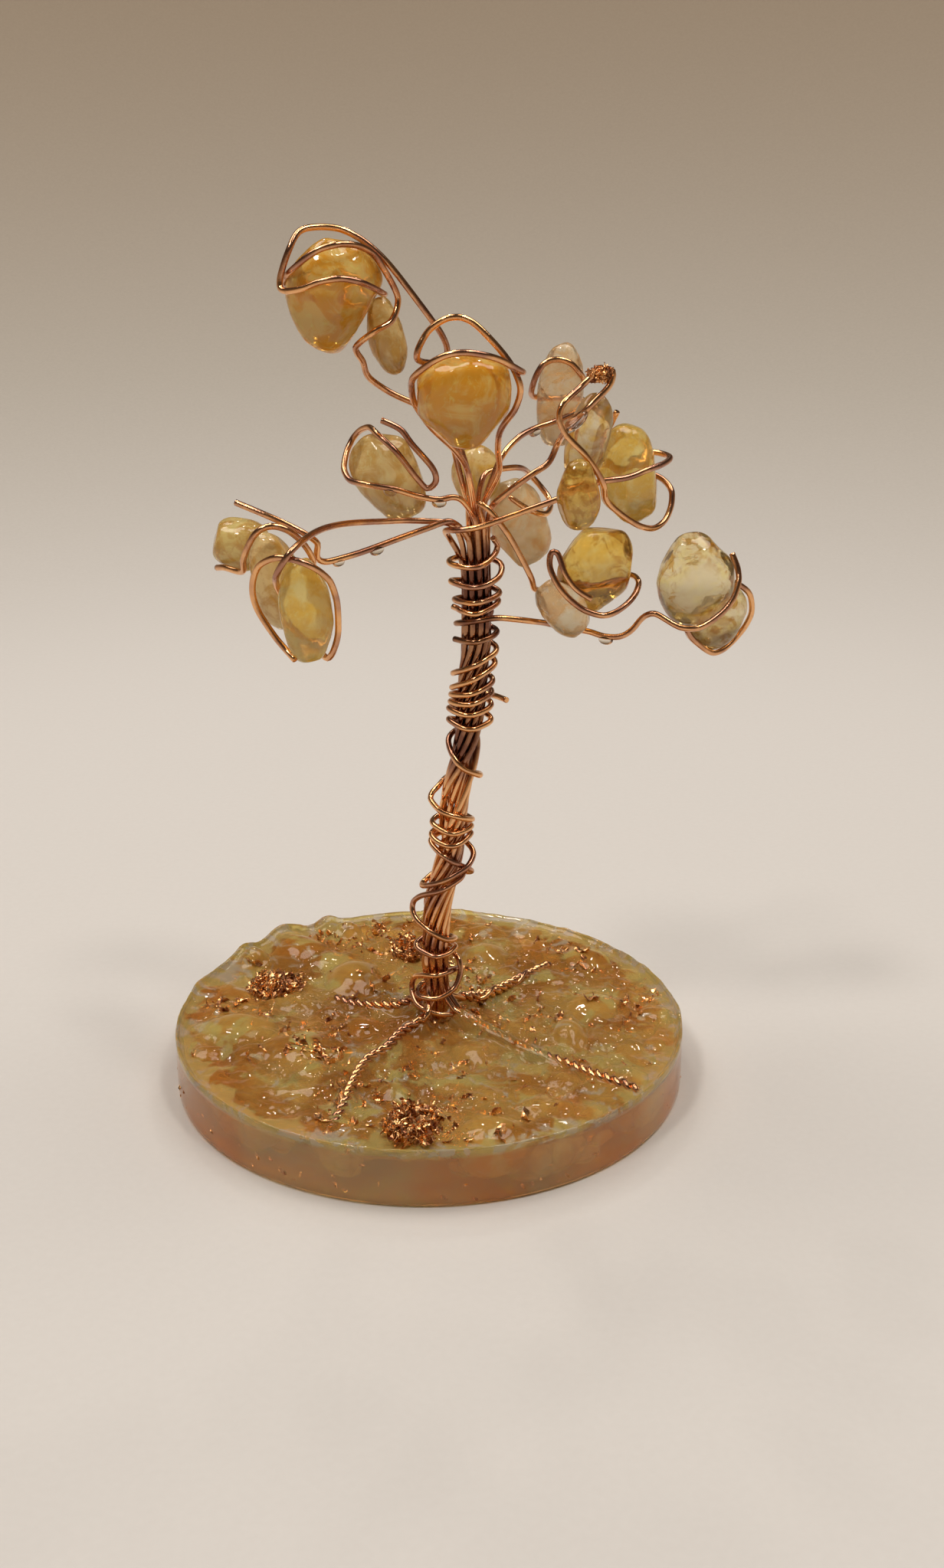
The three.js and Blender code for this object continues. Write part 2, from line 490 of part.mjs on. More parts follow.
function layOut({ name, points }) {
  const curve = new THREE.CatmullRomCurve3(points, false, "centripetal");
  curve.arcLengthDivisions = points.length * 12;
  const count = Math.round(curve.getLength());
  const start = curve.getSpacedPoints(count);
  const inBundle = (p) => {
    const middle = trunkAt(p.z);
    return Math.hypot(p.x - middle.x, p.y) < SKIN_RADIUS + 0.2 && p.z > FIXED_LOW && p.z < FIXED_HIGH;
  };
  return {
    name,
    start,
    now: start.map((p) => p.clone()),
    moved: start.map(() => vec(0, 0, 0)),
    fixed: start.map(inBundle),
  };
}

const laid = wires.map(layOut);
const pebbles = Object.values(hanging);

function clearOfStones(p) {
  for (const pebble of pebbles) {
    const local = p.clone().sub(pebble.at).applyQuaternion(pebble.spin.clone().invert());
    const gap = WIRE / 2 + CLEAR;
    const slim = 1 - pebble.taper * THREE.MathUtils.clamp(local.z / pebble.half.z, -1, 1);
    const depth = Math.hypot(
      local.x / (pebble.half.x * slim + gap),
      local.y / (pebble.half.y * slim + gap),
      local.z / (pebble.half.z + gap),
    );
    if (depth < 1 && depth > 0) {
      p.copy(local.divideScalar(depth).applyQuaternion(pebble.spin).add(pebble.at));
    }
  }
}

function cellsOf(lines) {
  const cells = new Map();
  lines.forEach((line, w) =>
    line.now.forEach((p, i) => {
      const key = [p.x, p.y, p.z].map((c) => Math.floor(c / 2)).join();
      if (!cells.has(key)) cells.set(key, []);
      cells.get(key).push([w, i]);
    }),
  );
  return cells;
}

function* neighbours(cells, p) {
  const [x, y, z] = [p.x, p.y, p.z].map((c) => Math.floor(c / 2));
  for (let dx = -1; dx <= 1; dx++)
    for (let dy = -1; dy <= 1; dy++)
      for (let dz = -1; dz <= 1; dz++) yield* cells.get([x + dx, y + dy, z + dz].join()) ?? [];
}

function pushApart(lines) {
  const cells = cellsOf(lines);
  const least = WIRE + WIRE_GAP;
  const apart = new THREE.Vector3();
  const nearest = new THREE.Vector3();
  const segment = new THREE.Line3();
  lines.forEach((line, w) =>
    line.now.forEach((p, i) => {
      for (const [v, j] of neighbours(cells, p)) {
        if (v < w || (v === w && j < i + SAME_WIRE)) continue;
        const other = lines[v];
        if (line.fixed[i] && other.fixed[j]) continue;
        segment.set(other.now[j], other.now[Math.min(j + 1, other.now.length - 1)]);
        segment.closestPointToPoint(p, true, nearest);
        apart.copy(p).sub(nearest);
        const distance = apart.length();
        if (distance >= least || distance === 0) continue;
        apart.multiplyScalar((least - distance) / distance);
        const share = line.fixed[i] ? 0 : other.fixed[j] ? 1 : 0.5;
        line.now[i].addScaledVector(apart, share);
        other.now[j].addScaledVector(apart, share - 1);
      }
    }),
  );
}

function shareMoves(line) {
  line.now.forEach((p, i) => line.moved[i].copy(p).sub(line.start[i]));
  line.now.forEach((p, i) => {
    if (line.fixed[i]) return;
    const before = line.moved[Math.max(0, i - 1)];
    const after = line.moved[Math.min(line.now.length - 1, i + 1)];
    p.copy(line.start[i]).addScaledVector(line.moved[i], 0.5).addScaledVector(before, 0.25).addScaledVector(after, 0.25);
  });
}

for (let round = 0; round < SETTLE_ROUNDS; round++) {
  pushApart(laid);
  for (const line of laid) line.now.forEach((p, i) => line.fixed[i] || clearOfStones(p));
  if (round < SETTLE_ROUNDS - BARE_ROUNDS) laid.forEach(shareMoves);
}

// ---------- wire solids ----------
const BEND_ERROR = 0.12; // how far a straight piece of tube may leave the curve
const WIRE_SIDES = 5;

// Keeps only the points that the bends need.
function thin(points) {
  const keep = new Set([0, points.length - 1]);
  const line = new THREE.Line3();
  const near = new THREE.Vector3();
  const split = (a, b) => {
    line.set(points[a], points[b]);
    let worst = 0;
    let at = -1;
    for (let i = a + 1; i < b; i++) {
      const off = line.closestPointToPoint(points[i], true, near).distanceTo(points[i]);
      if (off > worst) [worst, at] = [off, i];
    }
    if (worst <= BEND_ERROR) return;
    keep.add(at);
    split(a, at);
    split(at, b);
  };
  split(0, points.length - 1);
  return [...keep].sort((a, b) => a - b).map((i) => points[i]);
}

// A tube with one ring of corners at each point.
function tubeGeometry(points, radius, sides) {
  const path = new THREE.CatmullRomCurve3(points, false, "centripetal");
  path.getPointAt = path.getPoint;
  path.getTangentAt = path.getTangent;
  const section = new THREE.Shape();
  for (let i = 0; i < sides; i++) {
    const a = (2 * Math.PI * i) / sides;
    section[i ? "lineTo" : "moveTo"](radius * Math.cos(a), radius * Math.sin(a));
  }
  return new THREE.ExtrudeGeometry(section, { steps: points.length - 1, bevelEnabled: false, extrudePath: path });
}

const tubes = new Map(laid.map((line) => [line.name, thin(line.now)]));
for (const [name, points] of tubes) addMesh(name, tubeGeometry(points, WIRE / 2, WIRE_SIDES), COPPER);

// ---------- hanging stones ----------
for (const [name, pebble] of Object.entries(hanging)) {
  addMesh(name, stoneGeometry(pebble, STONE_FACETS), pale.includes(name) ? PALE_CITRINE : CITRINE);
}

// The crust of copper shavings on the tip of the right-hand bow, open round the wire it grips.
const tipTuft = solid(tuftGeometry([22.6, -5.4, 102.4], [2.2, 1.3, 1.4], 0.9));
const tipWire = solid(tubeGeometry(tubes.get("wire_right_upper"), WIRE / 2 + CLEAR, WIRE_SIDES));
const tipParts = tipTuft.subtract(tipWire).decompose();
tipParts.sort((a, b) => b.volume() - a.volume());
addMesh("shavings_right_tip", fromSolid(tipParts[0]), COPPER);

// ---------- base ----------
function baseProfile() {
  const profile = new THREE.Path();
  profile.moveTo(0, 0);
  profile.lineTo(BASE_RADIUS, 0);
  profile.lineTo(BASE_RADIUS, BASE_HEIGHT - BASE_EDGE);
  profile.absarc(BASE_RADIUS - BASE_EDGE, BASE_HEIGHT - BASE_EDGE, BASE_EDGE, 0, Math.PI / 2);
  profile.lineTo(0, BASE_HEIGHT);
  return profile.getPoints(2);
}

// A lathe turns about Y, so its result is stood up along Z.
const upright = (geometry) => geometry.rotateX(Math.PI / 2);

let resin = solid(upright(new THREE.LatheGeometry(baseProfile(), BASE_SIDES)));
const well = new THREE.CylinderGeometry(FOOT_RADIUS, FOOT_RADIUS, 2 * (BASE_HEIGHT - FOOT_FLOOR), 16);
resin = resin.subtract(solid(upright(well).translate(trunkLine[0].x, 0, BASE_HEIGHT)));
for (const [name, pebble] of Object.entries(set)) {
  resin = resin.subtract(solid(stoneGeometry(pebble, SET_FACETS, CLEAR)));
  addMesh(name, stoneGeometry(pebble, SET_FACETS), CITRINE);
}
for (const [name, [at, half, phase]] of Object.entries(tufts)) {
  resin = resin.subtract(solid(tuftGeometry(at, half.map((h) => h + CLEAR), phase)));
  addMesh(name, tuftGeometry(at, half, phase), COPPER);
}
const GROOVE_STEPS = 6;
const GROOVE_SIDES = 6;
for (const name of Object.keys(roots)) {
  const middle = rootCurve(name).getSpacedPoints(GROOVE_STEPS);
  middle.push(middle.at(-1).clone().addScaledVector(rootCurve(name).getTangentAt(1), 1));
  resin = resin.subtract(solid(tubeGeometry(middle, ROOT_TWIST + WIRE / 2 + 2 * CLEAR, GROOVE_SIDES)));
}
addMesh("resin_base", fromSolid(resin), RESIN);

export default tree;
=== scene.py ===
import math
import random

import bmesh
import bpy
from mathutils import Euler, Matrix, Vector, noise
from mathutils.kdtree import KDTree


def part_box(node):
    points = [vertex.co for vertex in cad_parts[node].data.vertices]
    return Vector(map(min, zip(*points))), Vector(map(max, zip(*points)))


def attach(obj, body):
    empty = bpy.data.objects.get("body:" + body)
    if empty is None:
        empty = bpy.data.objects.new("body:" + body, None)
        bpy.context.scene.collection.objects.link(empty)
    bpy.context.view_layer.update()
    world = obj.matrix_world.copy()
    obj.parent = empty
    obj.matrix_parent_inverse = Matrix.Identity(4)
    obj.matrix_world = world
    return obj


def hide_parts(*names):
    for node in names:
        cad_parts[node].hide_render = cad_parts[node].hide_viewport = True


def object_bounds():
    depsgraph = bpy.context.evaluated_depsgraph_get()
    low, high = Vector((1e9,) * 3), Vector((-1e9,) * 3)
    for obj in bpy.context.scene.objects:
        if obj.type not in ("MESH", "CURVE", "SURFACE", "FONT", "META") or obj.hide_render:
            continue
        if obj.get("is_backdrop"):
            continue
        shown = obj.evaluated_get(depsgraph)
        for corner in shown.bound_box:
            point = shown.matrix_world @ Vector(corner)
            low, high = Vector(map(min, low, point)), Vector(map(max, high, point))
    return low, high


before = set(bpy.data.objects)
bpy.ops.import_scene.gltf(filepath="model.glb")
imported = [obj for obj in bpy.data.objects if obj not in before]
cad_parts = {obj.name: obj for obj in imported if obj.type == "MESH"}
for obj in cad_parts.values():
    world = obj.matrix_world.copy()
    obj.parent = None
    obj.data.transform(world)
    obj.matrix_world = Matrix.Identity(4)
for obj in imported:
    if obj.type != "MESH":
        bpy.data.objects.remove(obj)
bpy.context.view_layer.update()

# ---- The tabletop ---------------------------------------------------------------------------
# A sheet of pale paper that lies flat under the tree and curves up all round it, six warm lamps
# in a dim room, and the camera in front of the tree and a little above it.
MM = 0.001
PAPER_FLAT = 0.30
PAPER_BEND = 0.50
PAPER_STEPS = 18
PAPER_SIDES = 96
PAPER_GAP = 0.1 * MM
# The paper's colours: pale on the flat, then painted shade that darkens it up the curve.
PAPER_PAINTED_SHADE_SPAN = (0.16, 0.86)
PAPER_PALE = (0.71, 0.70, 0.69, 1)
PAPER_PAINTED_SHADE_MIDDLE = (0.48, 0.45, 0.405, 1)
PAPER_PAINTED_SHADE_DARK = (0.33, 0.27, 0.205, 1)
PAPER_PAINTED_SHADE_EDGE = (0.10, 0.075, 0.055, 1)
CAMERA_PLACE = (0.0063, -0.2247, 0.1268)
CAMERA_TILT = 70
CAMERA_LENS = 38.69
CAMERA_SENSOR = 36
CAMERA_NEAREST = 0.01
ROOM_COLOUR = (0.055, 0.045, 0.038, 1)
LAMP_COLOUR = (1.0, 0.92, 0.83)
LAMP_AIM = Vector((0, 0, 0.05))
# name: place, width, power
LAMPS = {
    "lamp_front_left": ((-0.42, -0.40, 1.00), 0.16, 2.2),
    "lamp_front_right": ((0.36, -0.34, 1.10), 0.16, 2.0),
    "lamp_broad_left": ((-0.40, 0.18, 1.05), 0.70, 4.6),
    "lamp_broad_right": ((0.42, 0.10, 1.10), 0.70, 4.6),
    "lamp_back_left": ((-0.16, 0.62, 0.86), 0.05, 0.40),
    "lamp_back_right": ((0.22, 0.66, 0.80), 0.05, 0.35),
}


class Value:
    """One output of a node. A sum, difference or product of it adds its own Math node."""

    def __init__(self, finish, socket):
        self.finish = finish
        self.socket = socket

    def math(self, operation, *values):
        settings = {"operation": operation}
        return self.finish.node("ShaderNodeMath", 0, settings, dict(enumerate(values)))

    def __add__(self, other):
        return self.math("ADD", self, other)

    def __sub__(self, other):
        return self.math("SUBTRACT", self, other)

    def __rsub__(self, other):
        return self.math("SUBTRACT", other, self)

    def __mul__(self, other):
        return self.math("MULTIPLY", self, other)

    __radd__ = __add__
    __rmul__ = __mul__

    def fill_inside(self):
        """Makes this the shader of what lies inside the surface."""
        output = self.finish.tree.nodes["Material Output"]
        self.finish.tree.links.new(self.socket, output.inputs["Volume"])


class Finish:
    """A material with one main shader, whose sockets take plain values or Values."""

    def __init__(self, name):
        self.material = bpy.data.materials.new(name)
        self.material.use_nodes = True
        self.tree = self.material.node_tree
        self.shader = self.tree.nodes["Principled BSDF"]

    def node(self, kind, output, settings, sockets):
        """A new node: its settings first, then its sockets' values or links."""
        made = self.tree.nodes.new(kind)
        for name, value in settings.items():
            if name == "stops":
                self.fill_ramp(made.color_ramp, value)
            else:
                setattr(made, name, value)
        self.set(made, sockets)
        return Value(self, made.outputs[output])

    def fill_ramp(self, ramp, stops):
        while len(ramp.elements) < len(stops):
            ramp.elements.new(1)
        for element, (place, colour) in zip(ramp.elements, stops):
            element.position = place
            element.color = colour

    def set(self, node, sockets):
        for name, value in sockets.items():
            if isinstance(value, Value):
                self.tree.links.new(value.socket, node.inputs[name])
            else:
                node.inputs[name].default_value = value

    def surface(self, **sockets):
        """Sets the main shader's sockets, written with _ for a space."""
        self.set(self.shader, {name.replace("_", " "): value for name, value in sockets.items()})
        return self.material

    def place(self, moved=(0, 0, 0), scale=(1, 1, 1)):
        """The point on the piece in metres, moved and stretched."""
        point = self.node("ShaderNodeTexCoord", "Object", {}, {})
        return self.node("ShaderNodeMapping", 0, {}, {0: point, 1: moved, 3: scale})

    def noise(self, point, scale, detail=2.0, rough=0.5, bent=0.0):
        sockets = {"Vector": point, "Scale": scale, "Detail": detail}
        sockets |= {"Roughness": rough, "Distortion": bent}
        return self.node("ShaderNodeTexNoise", 0, {}, sockets)

    def length(self, point):
        """How far a point is from the middle of its own axes."""
        return self.node("ShaderNodeVectorMath", 1, {"operation": "LENGTH"}, {0: point})

    def height(self, point):
        return self.node("ShaderNodeSeparateXYZ", 2, {}, {0: point})

    def between(self, value, low, high):
        """0 below low and 1 above high, with soft ends."""
        soft = {"interpolation_type": "SMOOTHSTEP"}
        sockets = {0: value, 1: low, 2: high, 3: 0.0, 4: 1.0}
        return self.node("ShaderNodeMapRange", 0, soft, sockets)

    def mix(self, amount, first, second, blend="MIX"):
        kind = {"data_type": "RGBA", "blend_type": blend}
        return self.node("ShaderNodeMix", 2, kind, {0: amount, 6: first, 7: second})

    def bump(self, height, distance, strength=1.0):
        sockets = {"Height": height, "Distance": distance, "Strength": strength}
        return self.node("ShaderNodeBump", 0, {}, sockets)


def deselect():
    if bpy.context.object and bpy.context.object.mode != "OBJECT":
        bpy.ops.object.mode_set(mode="OBJECT")
    bpy.ops.object.select_all(action="DESELECT")


def choose(piece):
    """Makes a piece the only one selected."""
    deselect()
    piece.select_set(True)
    bpy.context.view_layer.objects.active = piece


def paper_finish():
    """Pale warm paper with faint fibre mottle, and painted shade that goes browner up its curve."""
    paper = Finish("paper")
    point = paper.place()
    # Painted shade: the colour darkens with distance from the middle, up the curve to the edge.
    far = paper.between(paper.length(point), *PAPER_PAINTED_SHADE_SPAN)
    stops = [(0.0, PAPER_PALE), (0.5, PAPER_PAINTED_SHADE_MIDDLE), (0.92, PAPER_PAINTED_SHADE_DARK), (1.0, PAPER_PAINTED_SHADE_EDGE)]
    shade = paper.node("ShaderNodeValToRGB", 0, {"stops": stops}, {0: far})
    fibre = paper.noise(point, 900, 3)
    tone = paper.mix(0.06, shade, fibre, "OVERLAY")
    return paper.surface(Base_Color=tone, Roughness=0.9, Normal=paper.bump(fibre, 0.00002))


bpy.context.scene.view_settings.view_transform = "Standard"
camera = bpy.data.objects.new("camera", bpy.data.cameras.new("camera"))
camera.location = CAMERA_PLACE
camera.rotation_euler = (math.radians(CAMERA_TILT), 0, 0)
camera.data.lens = CAMERA_LENS
camera.data.sensor_width = CAMERA_SENSOR
camera.data.clip_start = CAMERA_NEAREST
bpy.context.scene.collection.objects.link(camera)
bpy.context.scene.camera = camera

room = bpy.data.worlds.new("room")
bpy.context.scene.world = room
room.use_nodes = True
room.node_tree.nodes["Background"].inputs["Color"].default_value = ROOM_COLOUR

for name, (spot, size, power) in LAMPS.items():
    lamp = bpy.data.objects.new(name, bpy.data.lights.new(name, "AREA"))
    lamp.location = spot
    lamp.rotation_euler = (LAMP_AIM - lamp.location).to_track_quat("-Z", "Y").to_euler()
    lamp.data.shape = "DISK"
    lamp.data.size = size
    lamp.data.energy = power
    lamp.data.color = LAMP_COLOUR
    bpy.context.scene.collection.objects.link(lamp)

deselect()
bpy.ops.mesh.primitive_circle_add(vertices=PAPER_SIDES, radius=PAPER_FLAT, fill_type="NGON")
paper = bpy.context.object
paper.name = "paper"
bpy.ops.object.mode_set(mode="EDIT")
bpy.ops.mesh.select_mode(type="EDGE")
bpy.ops.mesh.select_all(action="DESELECT")
bpy.ops.mesh.select_non_manifold()
reached = PAPER_FLAT
risen = 0
for step in range(1, PAPER_STEPS + 1):
    turn = math.radians(90 * step / PAPER_STEPS)
    radius = PAPER_FLAT + PAPER_BEND * math.sin(turn)
    height = PAPER_BEND * (1 - math.cos(turn))
    wider = radius / reached
    bpy.ops.mesh.extrude_edges_move(TRANSFORM_OT_translate={"value": (0, 0, height - risen)})
    bpy.ops.transform.resize(value=(wider, wider, 1), center_override=(0, 0, height))
    reached = radius
    risen = height
bpy.ops.object.mode_set(mode="OBJECT")
bpy.ops.object.shade_smooth()
paper.location.z = -PAPER_GAP
paper.data.materials.append(paper_finish())
paper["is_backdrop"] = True


# ---- The copper wires -----------------------------------------------------------------------
# Fourteen lengths of bare 20 gauge copper, most of which run from the roots up the trunk, out
# along a branch and round a stone to a snipped end, and six more that are wound on the trunk.
WIRE_RADIUS = 0.42 * MM
WIRE_ROUND = 3
WIRE_STEP = 0.4 * MM
WELD = 0.002 * MM
ROOT_PITCH = 2.9 * MM
ROOT_TOP = 10.1 * MM
ROOT_START = 4.2 * MM
ROOT_SKIP = 3
ROOT_AHEAD = 4
ROOT_TIGHT = 1.02
FOOT_X = 1.4 * MM
SNIP = 0.12 * MM
SNIP_TAPER = 0.82
LEVEL = 0.9999
SQUARE = 0.2
ROOTS = {
    "back_right": ("wire_right_lower", "wire_behind_trunk_top"),
    "front": ("wire_right_upper", "wire_right_low"),
    "front_right": ("wire_back_right", "wire_behind_trunk_right"),
    "left": ("wire_middle_left", "wire_far_left_short"),
}
# The trunk's bundle, where the strands get painted shade between two heights.
TRUNK_X = 5.5 * MM
TRUNK_WIDE = (5 * MM, 6 * MM)
TRUNK_PAINTED_SHADE_LOW = (44 * MM, 52 * MM)
TRUNK_PAINTED_SHADE_HIGH = (78 * MM, 83 * MM)
COPPER_BRIGHT = (0.90, 0.49, 0.225, 1)
COPPER_BROWN = (0.20, 0.085, 0.055, 1)
COPPER_PINK = (0.66, 0.34, 0.225, 1)


def copper_finish(name, tarnish, trunk_painted_shade):
    """Bare drawn copper: pinker and browner in patches, and painted shade in the trunk's bundle."""
    copper = Finish(name)
    point = copper.place()
    height = copper.height(point)
    beside = copper.length(copper.place((-TRUNK_X, 0, 0), (1, 1, 0)))
    above = copper.between(height, *TRUNK_PAINTED_SHADE_LOW)
    below = 1 - copper.between(height, *TRUNK_PAINTED_SHADE_HIGH)
    # Painted shade: strands darken inside the trunk's bundle, between the two heights.
    trunk = above * below * (1 - copper.between(beside, *TRUNK_WIDE))
    patches = copper.between(copper.noise(point, 170, 3), 0.40, 0.66)
    specks = copper.between(copper.noise(point, 1500, 2), 0.55, 0.75)
    base = copper.mix(patches, COPPER_BRIGHT, COPPER_PINK)
    # Brown: tarnish in specks and patches, plus the painted shade in the trunk.
    brown = specks * 0.2 + patches * tarnish + trunk * trunk_painted_shade
    tone = copper.mix(brown, base, COPPER_BROWN)
    scratches = copper.noise(point, 5200, 2)
    rough = 0.13 + patches * 0.09 + specks * 0.1
    normal = copper.bump(scratches, 0.00002, 0.6)
    return copper.surface(Base_Color=tone, Metallic=1.0, Roughness=rough, Normal=normal)


def middle_line(node):
    """The middle of each ring of a CAD wire, in order, starting from its lower snipped end."""
    shape = bmesh.new()
    shape.from_mesh(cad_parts[node].data)
    bmesh.ops.remove_doubles(shape, verts=shape.verts, dist=WELD)
    shape.normal_update()
    shape.verts.index_update()
    ring = snipped_end(shape)
    seen = set()
    line = []
    while ring:
        in_order = sorted(ring, key=lambda corner: corner.index)
        line.append(sum((corner.co for corner in in_order), Vector()) / len(ring))
        seen |= ring
        ring = {edge.other_vert(corner) for corner in ring for edge in corner.link_edges}
        ring -= seen
    shape.free()
    return line if line[0].z < line[-1].z else line[::-1]


def snipped_end(shape):
    """The corners of a flat end: level faces that meet all their neighbours square on."""
    for face in shape.faces:
        flat = {face}
        around = [face]
        square = True
        while around:
            for edge in around.pop().edges:
                for other in edge.link_faces:
                    level = face.normal.dot(other.normal)
                    if other in flat:
                        continue
                    if level > LEVEL:
                        flat.add(other)
                        around.append(other)
                    elif abs(level) > SQUARE:
                        square = False
        if square and len(flat) > 1:
            return {corner for part in flat for corner in part.verts}
    raise ValueError("a wire has no flat end")


def rounded(points, step):
    """Points about one step apart on a smooth line through the given ones."""
    line = [points[0]]
    for index in range(len(points) - 1):
        start, end = points[index], points[index + 1]
        before = points[index - 1] if index else start * 2 - end
        after = points[index + 2] if index + 2 < len(points) else end * 2 - start
        lead = math.sqrt((start - before).length)
        span = math.sqrt((end - start).length)
        rest = math.sqrt((after - end).length)
        straight = (end - start) / span
        leave = ((start - before) / lead - (end - before) / (lead + span) + straight) * span
        arrive = (straight - (after - start) / (span + rest) + (after - end) / rest) * span
        count = max(1, round((end - start).length / step))
        for part in range(1, count + 1):
            t = part / count
            line.append(
                start * (2 * t**3 - 3 * t**2 + 1)
                + leave * (t**3 - 2 * t**2 + t)
                + end * (3 * t**2 - 2 * t**3)
                + arrive * (t**3 - t**2)
            )
    return line


def draw_wire(name, line):
    """A round wire along a line, with both snipped ends a little narrower."""
    first, last = line[0], line[-1]
    line = [first + (line[1] - first).normalized() * SNIP * 0.5, *line[1:-1], last]
    route = [first, *line, last + (last - line[-2]).normalized() * SNIP * 0.5]
    curve = bpy.data.curves.new(name, "CURVE")
    curve.dimensions = "3D"
    curve.bevel_depth = WIRE_RADIUS
    curve.bevel_resolution = WIRE_ROUND
    curve.use_fill_caps = True
    spline = curve.splines.new("POLY")
    spline.points.add(len(route) - 1)
    for index, spot in enumerate(route):
        spline.points[index].co = (*spot, 1)
        spline.points[index].radius = SNIP_TAPER if index in (0, len(route) - 1) else 1.0
    piece = bpy.data.objects.new(name, curve)
    bpy.context.scene.collection.objects.link(piece)
    choose(piece)
    bpy.ops.object.convert(target="MESH")
    bpy.ops.object.shade_smooth()
    return bpy.context.object


def give(piece, finish, slot, *nodes):
    """Gives a piece its finish, hangs it on the body, and lets it stand for its CAD nodes."""
    piece.data.materials.clear()
    piece.data.materials.append(finish)
    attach(piece, "root")
    if nodes:
        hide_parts(*nodes)
    return piece


def spaced(points):
    """How far along a line each of its points is."""
    reached = [0]
    for before, after in zip(points, points[1:]):
        reached.append(reached[-1] + (after - before).length)
    return reached


def twisted_pair(first, second):
    """Two wires' lines with their root stretch wound tight, and the middle line of that stretch."""
    low = [spot for spot in first if spot.z < ROOT_TOP]
    in_root = [spot for spot in low if math.hypot(spot.x - FOOT_X, spot.y) > ROOT_START]
    middle = []
    for spot in in_root:
        other = min(second, key=lambda near: (near - spot).length)
        middle.append((spot + other) / 2)
    reached = spaced(middle)
    whole = reached[-1]
    wound = ([], [])
    for index, spot in enumerate(middle):
        onward = middle[min(index + ROOT_AHEAD, len(middle) - 1)]
        ahead = (onward - middle[max(index - ROOT_AHEAD, 0)]).normalized()
        side = ahead.cross(Vector((0, 0, 1))).normalized()
        up = side.cross(ahead)
        joined = in_root[-1] - middle[-1]
        start = math.atan2(joined.dot(up), joined.dot(side))
        angle = start + math.tau * (whole - reached[index]) / ROOT_PITCH
        swing = (side * math.cos(angle) + up * math.sin(angle)) * WIRE_RADIUS * ROOT_TIGHT
        wound[0].append(spot + swing)
        wound[1].append(spot - swing)
    after_first = first[len(in_root) + ROOT_SKIP :]
    last = min(range(len(second)), key=lambda near: (second[near] - in_root[-1]).length)
    after_second = second[last + ROOT_SKIP :]
    return wound[0] + after_first, wound[1] + after_second, middle


# The last number is how much painted shade the trunk's strands get.
wire_copper = copper_finish("copper_wire", 0.5, 0.7)
wrap_copper = copper_finish("copper_wrap", 0.4, 0.1)
wires = sorted(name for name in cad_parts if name.startswith(("wire_", "wrap_")))
lines = {name: rounded(middle_line(name), WIRE_STEP) for name in wires}
root_middles = {}
for root, (first, second) in ROOTS.items():
    twisted = twisted_pair(lines[first], lines[second])
    lines[first], lines[second], root_middles[root] = twisted
for name, line in lines.items():
    if name.startswith("wire_"):
        branch = draw_wire(name.replace("wire_", "branch_"), line)
        give(branch, wire_copper, "branch_wire", name)
    else:
        winding = draw_wire(name.replace("wrap_", "winding_"), line)
        give(winding, wrap_copper, "wrap_wire", name)


# ---- The hanging stones ---------------------------------------------------------------------
# Seventeen tumbled citrines, each held by its own wire: worn smooth, with shallow hollows, and
# anything from clear pale yellow to cloudy gold.
STONE_VOXEL = 0.34 * MM
STONE_SWELL = 0.62 * MM
STONE_EDGE = 0.55 * MM
STONE_FLATS = 9
STONE_FLAT_DEPTH = (0.84, 0.97)
STONE_WORN = 6
STONE_POLISHED = 2
CITRINE_BENDING = 1.54


def worn_flat(spot, way, limit):
    """A point moved back to a flat that lies limit away along a direction, round at its edge."""
    over = spot.dot(way) - limit
    if over <= -STONE_EDGE:
        return spot
    back = over if over > STONE_EDGE else (over + STONE_EDGE) ** 2 / (4 * STONE_EDGE)
    return spot - way * back


def tumbled(node, name, hollows, seed, flats=(), swell=STONE_SWELL):
    """A stone of its CAD shape, worn smooth, with flats at some angles and shallow hollows."""
    piece = bpy.data.objects.new(name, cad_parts[node].data.copy())
    bpy.context.scene.collection.objects.link(piece)
    choose(piece)
    bpy.ops.object.mode_set(mode="EDIT")
    bpy.ops.mesh.select_all(action="SELECT")
    bpy.ops.mesh.remove_doubles(threshold=WELD)
    bpy.ops.object.mode_set(mode="OBJECT")
    remesh = piece.modifiers.new("even", "REMESH")
    remesh.mode = "VOXEL"
    remesh.voxel_size = STONE_VOXEL
    smooth = piece.modifiers.new("worn", "SMOOTH")
    smooth.iterations = STONE_WORN
    bpy.ops.object.modifier_apply(modifier="even")
    bpy.ops.object.modifier_apply(modifier="worn")
    low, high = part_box(node)
    middle = (low + high) / 2
    chance = random.Random(seed)
    ways = []
    for angle, share in flats:
        turn = math.radians(angle)
        ways.append((Vector((math.cos(turn), 0, math.sin(turn))), share))
    for _ in range(STONE_FLATS):
        way = Vector([chance.gauss(0, 1) for _ in range(3)]).normalized()
        ways.append((way, chance.uniform(*STONE_FLAT_DEPTH)))
    corners = piece.data.vertices
    outward = [corner.normal.copy() for corner in corners]
    swollen = [corner.co - middle + out * swell for corner, out in zip(corners, outward)]
    limits = [(way, share * max(spot.dot(way) for spot in swollen)) for way, share in ways]
    for corner, out, spot in zip(corners, outward, swollen):
        for way, limit in limits:
            spot = worn_flat(spot, way, limit)
        wide = noise.noise(spot / MM * 0.3 + Vector((seed, 0, 0)))
        fine = noise.noise(spot / MM * 0.9 + Vector((0, seed, 0)))
        corner.co = middle + spot + out * (wide * hollows * 0.6 + fine * 0.07) * MM
    polish = piece.modifiers.new("polished", "SMOOTH")
    polish.iterations = STONE_POLISHED
    bpy.ops.object.modifier_apply(modifier="polished")
    bpy.ops.object.shade_smooth()
    return piece


